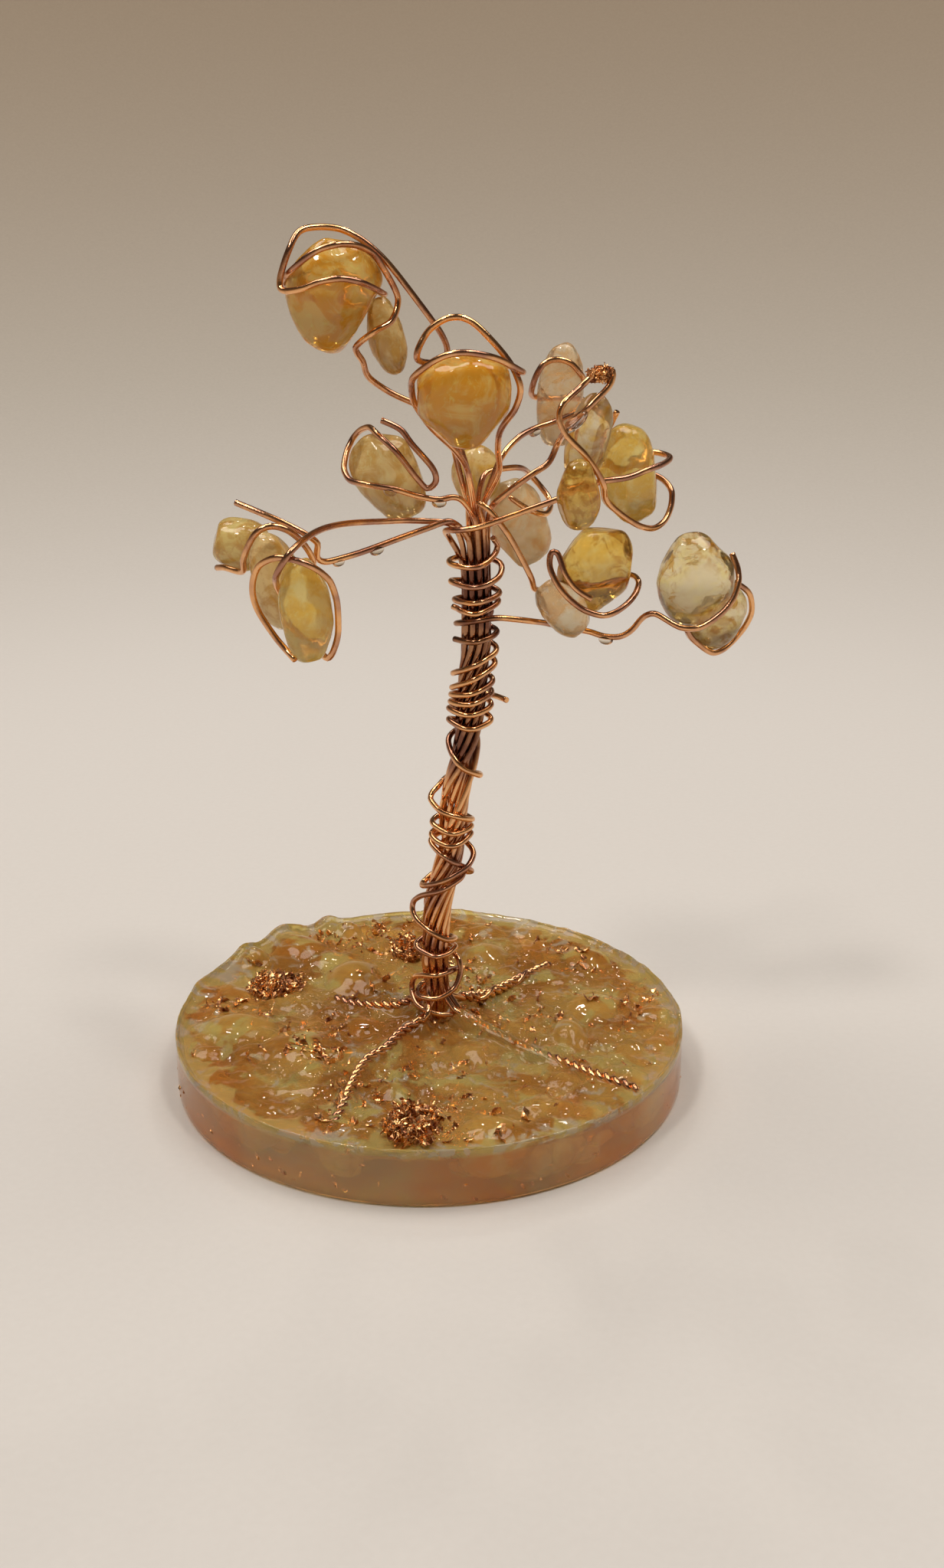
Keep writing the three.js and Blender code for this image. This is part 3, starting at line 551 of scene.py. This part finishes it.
def citrine_finish(name, box, clear, body, veil, cloud, rust, seed, bending=CITRINE_BENDING):
    """Polished citrine: a clear yellow body, cloudy veils, and rust mottling near its outline."""
    stone = Finish(name)
    point = stone.place((seed, 0, 0))
    drift = stone.noise(point, 260, 5, 0.6, 0.8)
    wisps = stone.noise(stone.place((0, seed, 0), (1, 2.4, 1)), 520, 4, 0.65, 1.5)
    thin = 0.58 - cloud * 0.25
    veils = stone.between(drift, thin, thin + 0.16)
    streaks = stone.between(wisps, 0.52, 0.72)
    tone = stone.mix(veils, body, veil)
    # The streaks are wisps of veil, lightened past its colour as a painted inner glow.
    streak_painted_glow = tuple(min(1, part * 1.35) for part in veil)
    tone = stone.mix(streaks * 0.6, tone, streak_painted_glow)
    low, high = box
    share = [2 / side for side in high - low]
    middle = [-side * part for side, part in zip((low + high) / 2, share)]
    off_middle = stone.length(stone.place(middle, (share[0], 0, share[2])))
    outer = stone.between(off_middle, 0.35, 0.95)
    mottle = stone.noise(stone.place((0, 0, seed)), 480, 5, 0.7, 1.2)
    rusty = stone.between(mottle, 0.47, 0.64) * (0.1 + outer) * rust * 2
    tone = stone.mix(rusty, tone, RUST)
    normal = stone.bump(stone.noise(point, 620, 2), 0.00012, 0.5)
    return stone.surface(
        Base_Color=tone,
        Roughness=0.07 + streaks * 0.1,
        Transmission_Weight=clear,
        IOR=bending,
        Normal=normal,
    )


RUST = (0.62, 0.31, 0.05, 1)
GOLD = (0.92, 0.45, 0.04, 1)
GOLD_VEIL = (1.0, 0.72, 0.22, 1)
TAN = (0.80, 0.50, 0.14, 1)
TAN_VEIL = (1.0, 0.79, 0.38, 1)
PALE = (0.95, 0.84, 0.56, 1)
PALE_VEIL = (0.98, 0.90, 0.68, 1)
PEACH = (1.0, 0.65, 0.30, 1)
PEACH_VEIL = (1.0, 0.84, 0.54, 1)
YELLOW = (0.98, 0.66, 0.13, 1)
YELLOW_VEIL = (1.0, 0.84, 0.34, 1)
EGG_FLATS = ((-32, 0.86), (205, 0.88), (120, 0.91), (85, 0.91), (50, 0.91))
CENTRE_FLATS = ((90, 0.93), (180, 0.93), (0, 0.93), (228, 0.88), (-42, 0.88))
LOW_FLATS = ((88, 0.84), (-6, 0.84), (-52, 0.86), (-125, 0.9), (143, 0.84))
LEAF_FLATS = ((80, 0.93), (35, 0.84), (-20, 0.86), (195, 0.86))
BARREL_FLATS = ((45, 0.9), (152, 0.88), (-90, 0.92))
WEDGE_FLATS = ((100, 0.92), (225, 0.82), (20, 0.88), (-60, 0.88))
LUMP_FLATS = ((75, 0.92), (5, 0.9), (-120, 0.86), (-60, 0.92))

# name: slot, clearness, body, veil, cloudiness, rust, hollows, flats
STONES = {
    "top_left_egg": ("golden_citrine", 0.6, GOLD, GOLD_VEIL, 0.6, 0.0, 0.4, EGG_FLATS),
    "top_left_drop": ("pale_citrine", 0.6, TAN, TAN_VEIL, 0.6, 0.1, 0.2, ()),
    "top_centre": ("golden_citrine", 0.6, GOLD, GOLD_VEIL, 0.5, 0.0, 0.4, CENTRE_FLATS),
    "middle_left": ("golden_citrine", 0.6, TAN, TAN_VEIL, 0.6, 0.1, 0.5, WEDGE_FLATS),
    "far_left_outer": ("golden_citrine", 0.5, TAN, YELLOW_VEIL, 0.7, 0.2, 0.4, LUMP_FLATS),
    "far_left_middle": ("golden_citrine", 0.5, TAN, TAN_VEIL, 0.7, 0.2, 0.4, LEAF_FLATS),
    "far_left_front": ("golden_citrine", 0.65, YELLOW, YELLOW_VEIL, 0.6, 0.1, 0.4, LEAF_FLATS),
    "back_right_flat": ("pale_citrine", 0.7, PEACH, PALE_VEIL, 0.6, 0.1, 0.3, ()),
    "right_long": ("golden_citrine", 0.8, YELLOW, PALE_VEIL, 0.7, 0.3, 0.3, ()),
    "right_drop": ("golden_citrine", 0.7, YELLOW, GOLD_VEIL, 0.5, 0.6, 0.3, ()),
    "right_golden": ("golden_citrine", 0.65, YELLOW, YELLOW_VEIL, 0.6, 0.2, 0.4, LUMP_FLATS),
    "right_low": ("golden_citrine", 0.85, YELLOW, YELLOW_VEIL, 0.3, 0.5, 0.3, LOW_FLATS),
    "right_low_pink": ("pale_citrine", 0.7, PEACH, PALE_VEIL, 0.6, 0.15, 0.3, ()),
    "far_right": ("pale_citrine", 0.9, PALE, YELLOW_VEIL, 0.4, 0.7, 0.3, BARREL_FLATS),
    "far_right_back": ("pale_citrine", 0.8, PALE, YELLOW_VEIL, 0.5, 0.6, 0.4, ()),
    "behind_trunk_right": ("pale_citrine", 0.5, PEACH, PEACH_VEIL, 0.8, 0.05, 0.4, WEDGE_FLATS),
    "behind_trunk_top": ("golden_citrine", 0.6, YELLOW, TAN_VEIL, 0.6, 0.2, 0.3, ()),
}
for number, (name, traits) in enumerate(STONES.items()):
    slot, clear, body, veil, cloud, rust, hollows, flats = traits
    node = "stone_" + name
    stone = tumbled(node, "citrine_" + name, hollows, number * 3.7, flats)
    look = (clear, body, veil, cloud, rust, number * 0.013)
    give(stone, citrine_finish(stone.name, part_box(node), *look), slot, node)


# ---- The stones set in the resin ------------------------------------------------------------
# Twelve rounded citrines that were laid in the mould before the resin was poured over them, and
# smaller chips of the same stone that fill the disc between them.
CHIP_COUNT = 230
CHIP_SIZES = (1.5 * MM, 4.2 * MM)
CHIP_HIGHEST = 8.4 * MM
CHIP_LOWEST = 2.6 * MM
CHIP_LEAN = 0.35
CHIP_COVER = (0.4 * MM, 0.6 * MM)
SET_SWELL = 0.2 * MM
SET_BENDING = 1.12
SET_GOLD = (1.0, 0.80, 0.36, 1)
SET_VEIL = (1.0, 0.95, 0.62, 1)
RESIN_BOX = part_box("resin_base")
RESIN_RADIUS = RESIN_BOX[1].x
RESIN_RIM = RESIN_BOX[1].z
SET_NODES = sorted(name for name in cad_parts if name.startswith("set_stone_"))

for number, node in enumerate(SET_NODES):
    stone = tumbled(node, node.replace("set_", "cast_"), 0.4, 60 + number * 2.9, (), SET_SWELL)
    look = (0.6, SET_GOLD, SET_VEIL, 0.6, 0.0, 0.3 + number * 0.011, SET_BENDING)
    give(stone, citrine_finish(stone.name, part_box(node), *look), "set_citrine", node)


def around(reach, turn, height):
    """The point at a reach and a turn round the middle of the disc."""
    return Vector((reach * math.cos(turn), reach * math.sin(turn), height))


def join(pieces, name):
    """Joins pieces into one, under a name of its own."""
    choose(pieces[0])
    for piece in pieces:
        piece.select_set(True)
    bpy.ops.object.join()
    joined = bpy.context.object
    joined.name = name
    return joined


deselect()
bpy.ops.mesh.primitive_ico_sphere_add(subdivisions=3, radius=1)
pebble = bpy.context.object
chance = random.Random(11)
chips = []
chip_places = []
for number in range(CHIP_COUNT):
    size = chance.uniform(*CHIP_SIZES)
    reach = (RESIN_RADIUS - size - CHIP_COVER[0]) * math.sqrt(chance.uniform(0.03, 1))
    turn = chance.uniform(0, math.tau)
    thick = size * chance.uniform(0.5, 0.75)
    highest = chance.uniform(CHIP_LOWEST, CHIP_HIGHEST)
    stretch = Vector((size, size * chance.uniform(0.6, 0.95), thick))
    tilt = [chance.uniform(-CHIP_LEAN, CHIP_LEAN) for _ in range(2)]
    lean = Euler((*tilt, chance.uniform(0, math.tau)))
    spot = around(reach, turn, max(highest - thick, thick + CHIP_COVER[1]))
    chip = bpy.data.objects.new("chip", pebble.data.copy())
    bpy.context.scene.collection.objects.link(chip)
    for corner in chip.data.vertices:
        bulge = 1 + 0.3 * noise.noise(corner.co * 1.2 + Vector((number * 5.1, 0, 0)))
        flat = Vector([side * bulge * share for side, share in zip(corner.co, stretch)])
        flat.rotate(lean)
        corner.co = flat + spot
    chips.append(chip)
    chip_places.append((spot, size, thick))
bpy.data.objects.remove(pebble)
chips = join(chips, "citrine_chips")
bpy.ops.object.shade_smooth()
look = (0.75, SET_GOLD, SET_VEIL, 0.5, 0.0, 0.9, SET_BENDING)
give(chips, citrine_finish(chips.name, RESIN_BOX, *look), "set_citrine")


# ---- The resin disc -------------------------------------------------------------------------
# Clear amber resin cast in a round mould: a smooth flat side and underside, and an open top that
# set in waves, over the stones in low domes, up the roots and trunk foot, and in a thin lip.
RESIN_LEVEL = RESIN_RIM - 0.45 * MM
RESIN_TURNS = 330
RESIN_RINGS = 84
RESIN_WELD = 0.01 * MM
RESIN_FILM = 0.22 * MM
LIP_WIDTH = 0.8 * MM
LIP_RISE = 0.3 * MM
WALL_EDGE = 0.45 * MM
WALL_STEPS = 8
UNDER_RINGS = 12
LUMP_REACH = 7 * MM
LUMP_SPREAD = 1.25
CALM_REACH = 5 * MM
FOOT_REACH = 3.1 * MM
FOOT_RISE = 1.1 * MM
FOOT_FADE = 1.0 * MM
ROOT_REACH = 2.2 * MM
ROOT_SHOULDER = (1.1 * MM, 0.6 * MM)
DOME_FILLET = 1.1 * MM
ROOT_FILLET = 0.6 * MM
ROOT_COVER = {
    "back_right": ((0, 0.5), (0.35, 0.1), (0.6, -0.5), (1, -0.6)),
    "front": ((0, 0.7), (0.5, 0.45), (0.8, 0.2), (1, -0.3)),
    "front_right": ((0, 0.25), (0.4, 0.2), (0.55, 0.8), (1, 0.9)),
    "left": ((0, 0.4), (0.5, 0.1), (1, -0.3)),
}
# angle round the disc, rise and half width of each peak where the resin crept up the mould
LIP_PEAKS = (
    (145, 1.4 * MM, 2.4 * MM),
    (132, 1.9 * MM, 3.6 * MM),
    (119, 1.2 * MM, 2.2 * MM),
    (165, 0.5 * MM, 3.0 * MM),
    (86, 0.4 * MM, 4.0 * MM),
    (2, 0.35 * MM, 2.5 * MM),
)
LIP_PEAK_DEPTH = 3.2 * MM
RESIN_AMBER = (0.72, 0.33, 0.07, 1)
RESIN_OLIVE = (1.0, 0.62, 0.17, 1)
RESIN_YELLOW = (1.0, 0.86, 0.30, 1)
RESIN_MILK = (1.0, 0.96, 0.76, 1)
RESIN_WALL = (1.0, 0.46, 0.14, 1)
RESIN_WALL_PALE = (1.0, 0.64, 0.28, 1)
RESIN_DEPTH = (0.98, 0.76, 0.25, 1)
RESIN_DENSITY = 9
RESIN_BENDING = 1.45

lumps = []
for low, high in (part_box(node) for node in SET_NODES):
    half = (high - low) / 2
    lumps.append(((low + high) / 2, half.x, half.y, half.z))
lumps += [(spot, size, size * 0.8, thick) for spot, size, thick in chip_places]
nearest_lump = KDTree(len(lumps))
for index, (spot, wide, deep, thick) in enumerate(lumps):
    nearest_lump.insert((spot.x, spot.y, 0), index)
nearest_lump.balance()


def waves(x, y):
    """The unevenness that the open top set with."""
    spot = Vector((x, y, 0)) / MM
    long = noise.noise(spot / 7.5) * 0.42
    short = noise.noise(spot / 3.1 + Vector((9, 4, 0))) * 0.40
    fine = noise.noise(spot / 1.4 + Vector((3, 8, 1))) * 0.12
    crease = (1 - abs(noise.noise(spot / 4.2 + Vector((5, 1, 7))))) ** 6 * 0.5
    wrinkle = (1 - abs(noise.noise(spot / 1.9 + Vector((1, 6, 2))))) ** 5 * 0.3
    return (long + short + fine + crease + wrinkle - 0.25) * MM


def dome(x, y):
    """Height of the film over the stones and chips that lie here, or nothing."""
    best = 0
    for _, index, _ in nearest_lump.find_range((x, y, 0), LUMP_REACH):
        spot, wide, deep, thick = lumps[index]
        across = ((x - spot.x) / wide) ** 2 + ((y - spot.y) / deep) ** 2
        if across < LUMP_SPREAD:
            best = max(best, spot.z + thick * math.sqrt(1 - across / LUMP_SPREAD) + RESIN_FILM)
    return best


def crept(x, y):
    """How far the resin crept up the mould's wall in peaks here."""
    reach = math.hypot(x, y)
    angle = math.degrees(math.atan2(y, x))
    rise = 0
    for peak, height, wide in LIP_PEAKS:
        round_wall = math.radians((angle - peak + 180) % 360 - 180) * RESIN_RADIUS
        rise += height * math.exp(-((round_wall / wide) ** 2))
    return rise * math.exp(-(((RESIN_RADIUS - reach) / LIP_PEAK_DEPTH) ** 2))


def cover_at(root, share):
    """How far the resin stands over a root's middle, at a share of its length, in metres."""
    stops = ROOT_COVER[root]
    for (start, first), (end, second) in zip(stops, stops[1:]):
        if share <= end:
            return (first + (second - first) * (share - start) / (end - start)) * MM
    return stops[-1][1] * MM


buried = []
for root, middle in root_middles.items():
    for index, spot in enumerate(middle):
        buried.append((spot, cover_at(root, index / (len(middle) - 1))))
nearest_root = KDTree(len(buried))
for index, (spot, cover) in enumerate(buried):
    nearest_root.insert((spot.x, spot.y, 0), index)
nearest_root.balance()


def over_root(x, y):
    """Height of the film over the root that passes here, or nothing."""
    _, index, away = nearest_root.find((x, y, 0))
    if away > ROOT_REACH:
        return 0
    spot, cover = buried[index]
    wide, drop = ROOT_SHOULDER
    return spot.z + cover - (away / wide) ** 2 * drop


def blended(first, second, soft):
    """The higher of two heights, with a fillet where they meet."""
    near = max(0, soft - abs(first - second)) / soft
    return max(first, second) + near * near * soft / 4


def resin_top(x, y):
    """Height of the resin's open top."""
    calm = min(1, max(0.3, (RESIN_RADIUS - math.hypot(x, y)) / CALM_REACH))
    height = blended(RESIN_LEVEL + waves(x, y) * calm, dome(x, y), DOME_FILLET)
    height = blended(height, over_root(x, y), ROOT_FILLET)
    foot = math.hypot(x - FOOT_X, y) - FOOT_REACH
    foot_rise = FOOT_RISE * math.exp(-abs(foot) / FOOT_FADE) * (1 if foot > 0 else 0.6)
    return height + foot_rise + crept(x, y)


open_reach = RESIN_RADIUS - LIP_WIDTH
profile = [(open_reach * ring / RESIN_RINGS, RESIN_LEVEL) for ring in range(RESIN_RINGS + 1)]
profile += [
    (RESIN_RADIUS - LIP_WIDTH * 0.55, RESIN_RIM + LIP_RISE * 0.4),
    (RESIN_RADIUS - LIP_WIDTH * 0.3, RESIN_RIM + LIP_RISE),
    (RESIN_RADIUS - LIP_WIDTH * 0.1, RESIN_RIM + LIP_RISE * 0.6),
]
wall_height = RESIN_RIM - WALL_EDGE
for step in range(WALL_STEPS + 1):
    profile.append((RESIN_RADIUS, RESIN_RIM - wall_height * step / WALL_STEPS))
profile.append((RESIN_RADIUS - WALL_EDGE * 0.3, WALL_EDGE * 0.3))
under_reach = RESIN_RADIUS - WALL_EDGE
profile += [(under_reach * (1 - ring / UNDER_RINGS), 0) for ring in range(UNDER_RINGS + 1)]

disc = bpy.data.meshes.new("resin_disc")
spots = [(reach, 0, height) for reach, height in profile]
edges = [(index, index + 1) for index in range(len(spots) - 1)]
disc.from_pydata(spots, edges, [])
resin = bpy.data.objects.new("resin_disc", disc)
bpy.context.scene.collection.objects.link(resin)
choose(resin)
bpy.ops.object.mode_set(mode="EDIT")
bpy.ops.mesh.select_all(action="SELECT")
bpy.ops.mesh.spin(steps=RESIN_TURNS, angle=math.tau, center=(0, 0, 0), axis=(0, 0, 1))
bpy.ops.mesh.select_all(action="SELECT")
bpy.ops.mesh.remove_doubles(threshold=RESIN_WELD)
bpy.ops.mesh.normals_make_consistent(inside=False)
bpy.ops.object.mode_set(mode="OBJECT")
for corner in resin.data.vertices:
    x, y, height = corner.co
    if height < RESIN_LEVEL - 0.1 * MM:
        continue
    if math.hypot(x, y) < open_reach + RESIN_WELD:
        corner.co.z = resin_top(x, y)
    else:
        lifted = max(0, dome(x, y) - RESIN_RIM)
        corner.co.z += lifted * 0.8 + waves(x, y) * 0.3 + crept(x, y)
bpy.ops.object.shade_smooth()


def resin_finish():
    """Amber resin: olive and yellow depths, milky threads, and painted light streaked on its rim.
    """
    resin = Finish("amber_resin")
    point = resin.place()
    reach = resin.length(resin.place(scale=(1, 1, 0)))
    open_top = resin.between(resin.height(point), RESIN_RIM - 1.2 * MM, RESIN_RIM - 0.4 * MM)
    # Painted light: near the open top's edge the colour is lightened towards yellow and milk.
    rim_painted_light = resin.between(reach, RESIN_RADIUS - 4.5 * MM, RESIN_RADIUS - 0.5 * MM) * open_top
    drift = resin.noise(point, 90, 3, 0.5, 0.6)
    clouds = resin.noise(resin.place((0.4, 0, 0)), 115, 3, 0.55, 1.2)
    yellow_and_rim_light = resin.between(clouds + rim_painted_light * 0.2, 0.54, 0.62)
    threads = resin.noise(resin.place((0, 0.6, 0)), 160, 4, 0.6, 2.2)
    milk_and_rim_light = resin.between(threads + rim_painted_light * 0.1, 0.58, 0.68)
    tone = resin.mix(resin.between(drift, 0.4, 0.6), RESIN_AMBER, RESIN_OLIVE)
    columns = resin.noise(resin.place((0.7, 0, 0), (1, 1, 0.35)), 70, 3)
    wall = resin.mix(resin.between(columns, 0.42, 0.6), RESIN_WALL, RESIN_WALL_PALE)
    tone = resin.mix(open_top, wall, tone)
    tone = resin.mix(yellow_and_rim_light * (0.2 + open_top * 0.7), tone, RESIN_YELLOW)
    tone = resin.mix(milk_and_rim_light * (0.1 + open_top * 0.7), tone, RESIN_MILK)
    normal = resin.bump(resin.noise(point, 240, 2, 0.4) * open_top, 0.0005, 0.7)
    depth = {"Color": RESIN_DEPTH, "Density": RESIN_DENSITY}
    resin.node("ShaderNodeVolumeAbsorption", 0, {}, depth).fill_inside()
    return resin.surface(
        Base_Color=tone,
        Roughness=0.03 + milk_and_rim_light * 0.06,
        Transmission_Weight=0.72,
        IOR=RESIN_BENDING,
        Normal=normal,
    )


give(resin, resin_finish(), "resin", "resin_base")


# ---- The resin drops ------------------------------------------------------------------------
# Small clear drops of resin that ran along the wires and set there, and a film of it caught in
# the bow at the end of one branch.
# Each row is a wire, the share of its length from the root, and half the drop's width.
DROPS = (
    ("wire_far_left_short", 0.821, 0.62 * MM),
    ("wire_far_left_short", 0.867, 0.50 * MM),
    ("wire_middle_left", 0.654, 0.60 * MM),
    ("wire_middle_left", 0.70, 0.52 * MM),
    ("wire_back_right", 0.774, 0.60 * MM),
    ("wire_far_right", 0.611, 0.62 * MM),
)
DROP_HANG = 0.45 * MM
BOW_WIRE = "wire_right_upper"
BOW_ENDS = (0.70, 0.798)
BOW_FILM = (2.1 * MM, 0.45 * MM, 1.5 * MM)
DROP_TINT = (1.0, 0.95, 0.86, 1)


def drop_at(spot, size, along, up):
    """A rounded drop of resin: its middle, half its size each way, and the line it lies on."""
    deselect()
    bpy.ops.mesh.primitive_uv_sphere_add(segments=24, ring_count=14, radius=1)
    drop = bpy.context.object
    turn = along.to_track_quat("X", up).to_euler()
    drop.data.transform(Matrix.LocRotScale(spot, turn, Vector(size)))
    bpy.ops.object.shade_smooth()
    return drop


drops = []
for wire, share, size in DROPS:
    line = lines[wire]
    index = round(share * (len(line) - 1))
    along = (line[index + 1] - line[index - 1]).normalized()
    spot = line[index] - Vector((0, 0, DROP_HANG))
    drops.append(drop_at(spot, (size * 1.7, size, size * 1.1), along, "Z"))
bow = lines[BOW_WIRE]
first, last = (bow[round(share * (len(bow) - 1))] for share in BOW_ENDS)
drops.append(drop_at((first + last) / 2, BOW_FILM, last - first, "Y"))
drops = join(drops, "resin_drops")
clear_resin = Finish("drop_resin").surface(
    Base_Color=DROP_TINT,
    Roughness=0.04,
    Transmission_Weight=1.0,
    IOR=RESIN_BENDING,
)
give(drops, clear_resin, "resin")


# ---- The copper flakes and shavings ---------------------------------------------------------
# Offcuts of copper foil, strewn through the resin and caught in its top, and four wads of fine
# curled shavings: three cast into the disc and one stuck on the tip of a branch.
FLAKE_SHAPES = 5
FLAKE_COUNT = 1000
FLAKES_IN_WALL = 120
FLAKE_LENGTH = 1.5 * MM
FLAKE_FOIL = 0.05 * MM
FLAKE_SIZES = (0.4, 0.6, 0.8, 1.1, 1.7)
FLAKE_CLUSTERS = 26
FLAKE_LOOSE = 0.35
CURL_COUNT = 260
CURL_BENDS = (1.6, 2.6, 4.2)
WADS = ("shavings_front", "shavings_left", "shavings_back", "shavings_right_tip")
WAD_DEPTH = 1.6 * MM
WAD_RISE = 0.5 * MM
WAD_FORWARD = 2 * MM
FOIL_BRIGHT = (0.92, 0.54, 0.24, 1)
FOIL_BROWN = (0.36, 0.15, 0.075, 1)


def foil_finish():
    """Bright crumpled foil with darker, heat-browned patches."""
    foil = Finish("copper_foil")
    point = foil.place()
    patches = foil.between(foil.noise(point, 900, 3), 0.45, 0.65)
    tone = foil.mix(patches, FOIL_BRIGHT, FOIL_BROWN)
    rough = 0.18 + patches * 0.2
    crumple = foil.bump(foil.noise(point, 3200, 2), 0.00006)
    return foil.surface(Base_Color=tone, Metallic=1.0, Roughness=rough, Normal=crumple)


copper_foil = foil_finish()


def foil_strip(length, width, curl, seed):
    """One strip of foil, crumpled or curled along its length, and as thick as it is."""
    deselect()
    bpy.ops.mesh.primitive_grid_add(x_subdivisions=6, y_subdivisions=2, size=1)
    strip = bpy.context.object
    for corner in strip.data.vertices:
        along, across = corner.co.x, corner.co.y * width * (1 - corner.co.x**2)
        angle = along * curl
        bend = length / curl
        rough = noise.noise(Vector((along * 4 + seed, corner.co.y * 3, 0))) * width * 0.5
        rise = (1 - math.cos(angle)) * bend + rough
        corner.co = (math.sin(angle) * bend, across + along * width, rise)
    solid = strip.modifiers.new("foil", "SOLIDIFY")
    solid.thickness = FLAKE_FOIL
    solid.offset = 0
    bpy.ops.object.modifier_apply(modifier="foil")
    return strip


def strewn(shapes, places, name):
    """Copies of the shapes at places, each a spot, a turn and a size, joined into one piece."""
    copies = []
    for number, (spot, turn, size) in enumerate(places):
        shape = shapes[number % len(shapes)]
        copy = bpy.data.objects.new(name, shape.data.copy())
        bpy.context.scene.collection.objects.link(copy)
        copy.data.transform(Matrix.LocRotScale(spot, turn, Vector((size, size, size))))
        copies.append(copy)
    return join(copies, name)


chance = random.Random(5)
flakes = []
for seed in range(FLAKE_SHAPES):
    width = FLAKE_LENGTH * chance.uniform(0.25, 0.55)
    flakes.append(foil_strip(FLAKE_LENGTH, width, chance.uniform(0.8, 2.6), seed))
places = []
clusters = []
for _ in range(FLAKE_CLUSTERS):
    reach = (RESIN_RADIUS - 4 * MM) * math.sqrt(chance.uniform(0.03, 1))
    turn = chance.uniform(0, math.tau)
    clusters.append((around(reach, turn, 0), chance.uniform(1.2, 3.2) * MM))
while len(places) < FLAKE_COUNT:
    middle, wide = chance.choice(clusters)
    if chance.random() < FLAKE_LOOSE:
        middle, wide = Vector(), RESIN_RADIUS * 0.5
    x, y = chance.gauss(middle.x, wide), chance.gauss(middle.y, wide)
    if math.hypot(x, y) > RESIN_RADIUS - 1.2 * MM:
        continue
    spot = Vector((x, y, resin_top(x, y) - chance.uniform(-0.25, 1.6) * MM))
    lean = Euler([chance.gauss(0, 0.5), chance.gauss(0, 0.5), chance.uniform(0, math.tau)])
    places.append((spot, lean, chance.choice(FLAKE_SIZES)))
for _ in range(FLAKES_IN_WALL):
    turn = chance.uniform(0, math.tau)
    reach = RESIN_RADIUS - chance.uniform(0.02, 0.12) * MM
    spot = around(reach, turn, abs(chance.gauss(0, 1.7) * MM) + 0.9 * MM)
    upright = -math.pi / 2 - chance.uniform(0.1, 0.8)
    lean = Euler((upright, chance.gauss(0, 0.7), turn + math.pi / 2))
    places.append((spot, lean, chance.uniform(0.4, 0.8)))
flecks = strewn(flakes, places, "copper_flakes")
give(flecks, copper_foil, "copper_shavings")

curls = []
for bend in CURL_BENDS:
    curls.append(foil_strip(FLAKE_LENGTH * 1.6, FLAKE_LENGTH * 0.5, bend, 20 + bend))
for node in WADS:
    low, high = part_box(node)
    tip = node.endswith("tip")
    if node == "shavings_front":
        low.y -= WAD_FORWARD
        high.z += WAD_RISE
    if not tip:
        low.z = RESIN_LEVEL - WAD_DEPTH
        high.z += WAD_RISE
    middle = (low + high) / 2
    half = (high - low) / 2
    places = []
    for _ in range(CURL_COUNT):
        out = math.sqrt(chance.uniform(0, 0.9))
        turn = chance.uniform(0, math.tau)
        rise = math.sqrt(1 - out**2) * chance.uniform(-0.9 if tip else -0.2, 0.9)
        spot = middle + around(out, turn, rise) * half
        lean = Euler([chance.uniform(0, math.tau) for _ in range(3)])
        places.append((spot, lean, chance.uniform(0.5, 1.2) * (0.4 if tip else 1)))
    wad = strewn(curls, places, node.replace("shavings", "curled_shavings"))
    give(wad, copper_foil, "copper_shavings", node)
for shape in flakes + curls:
    bpy.data.objects.remove(shape)

low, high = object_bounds()
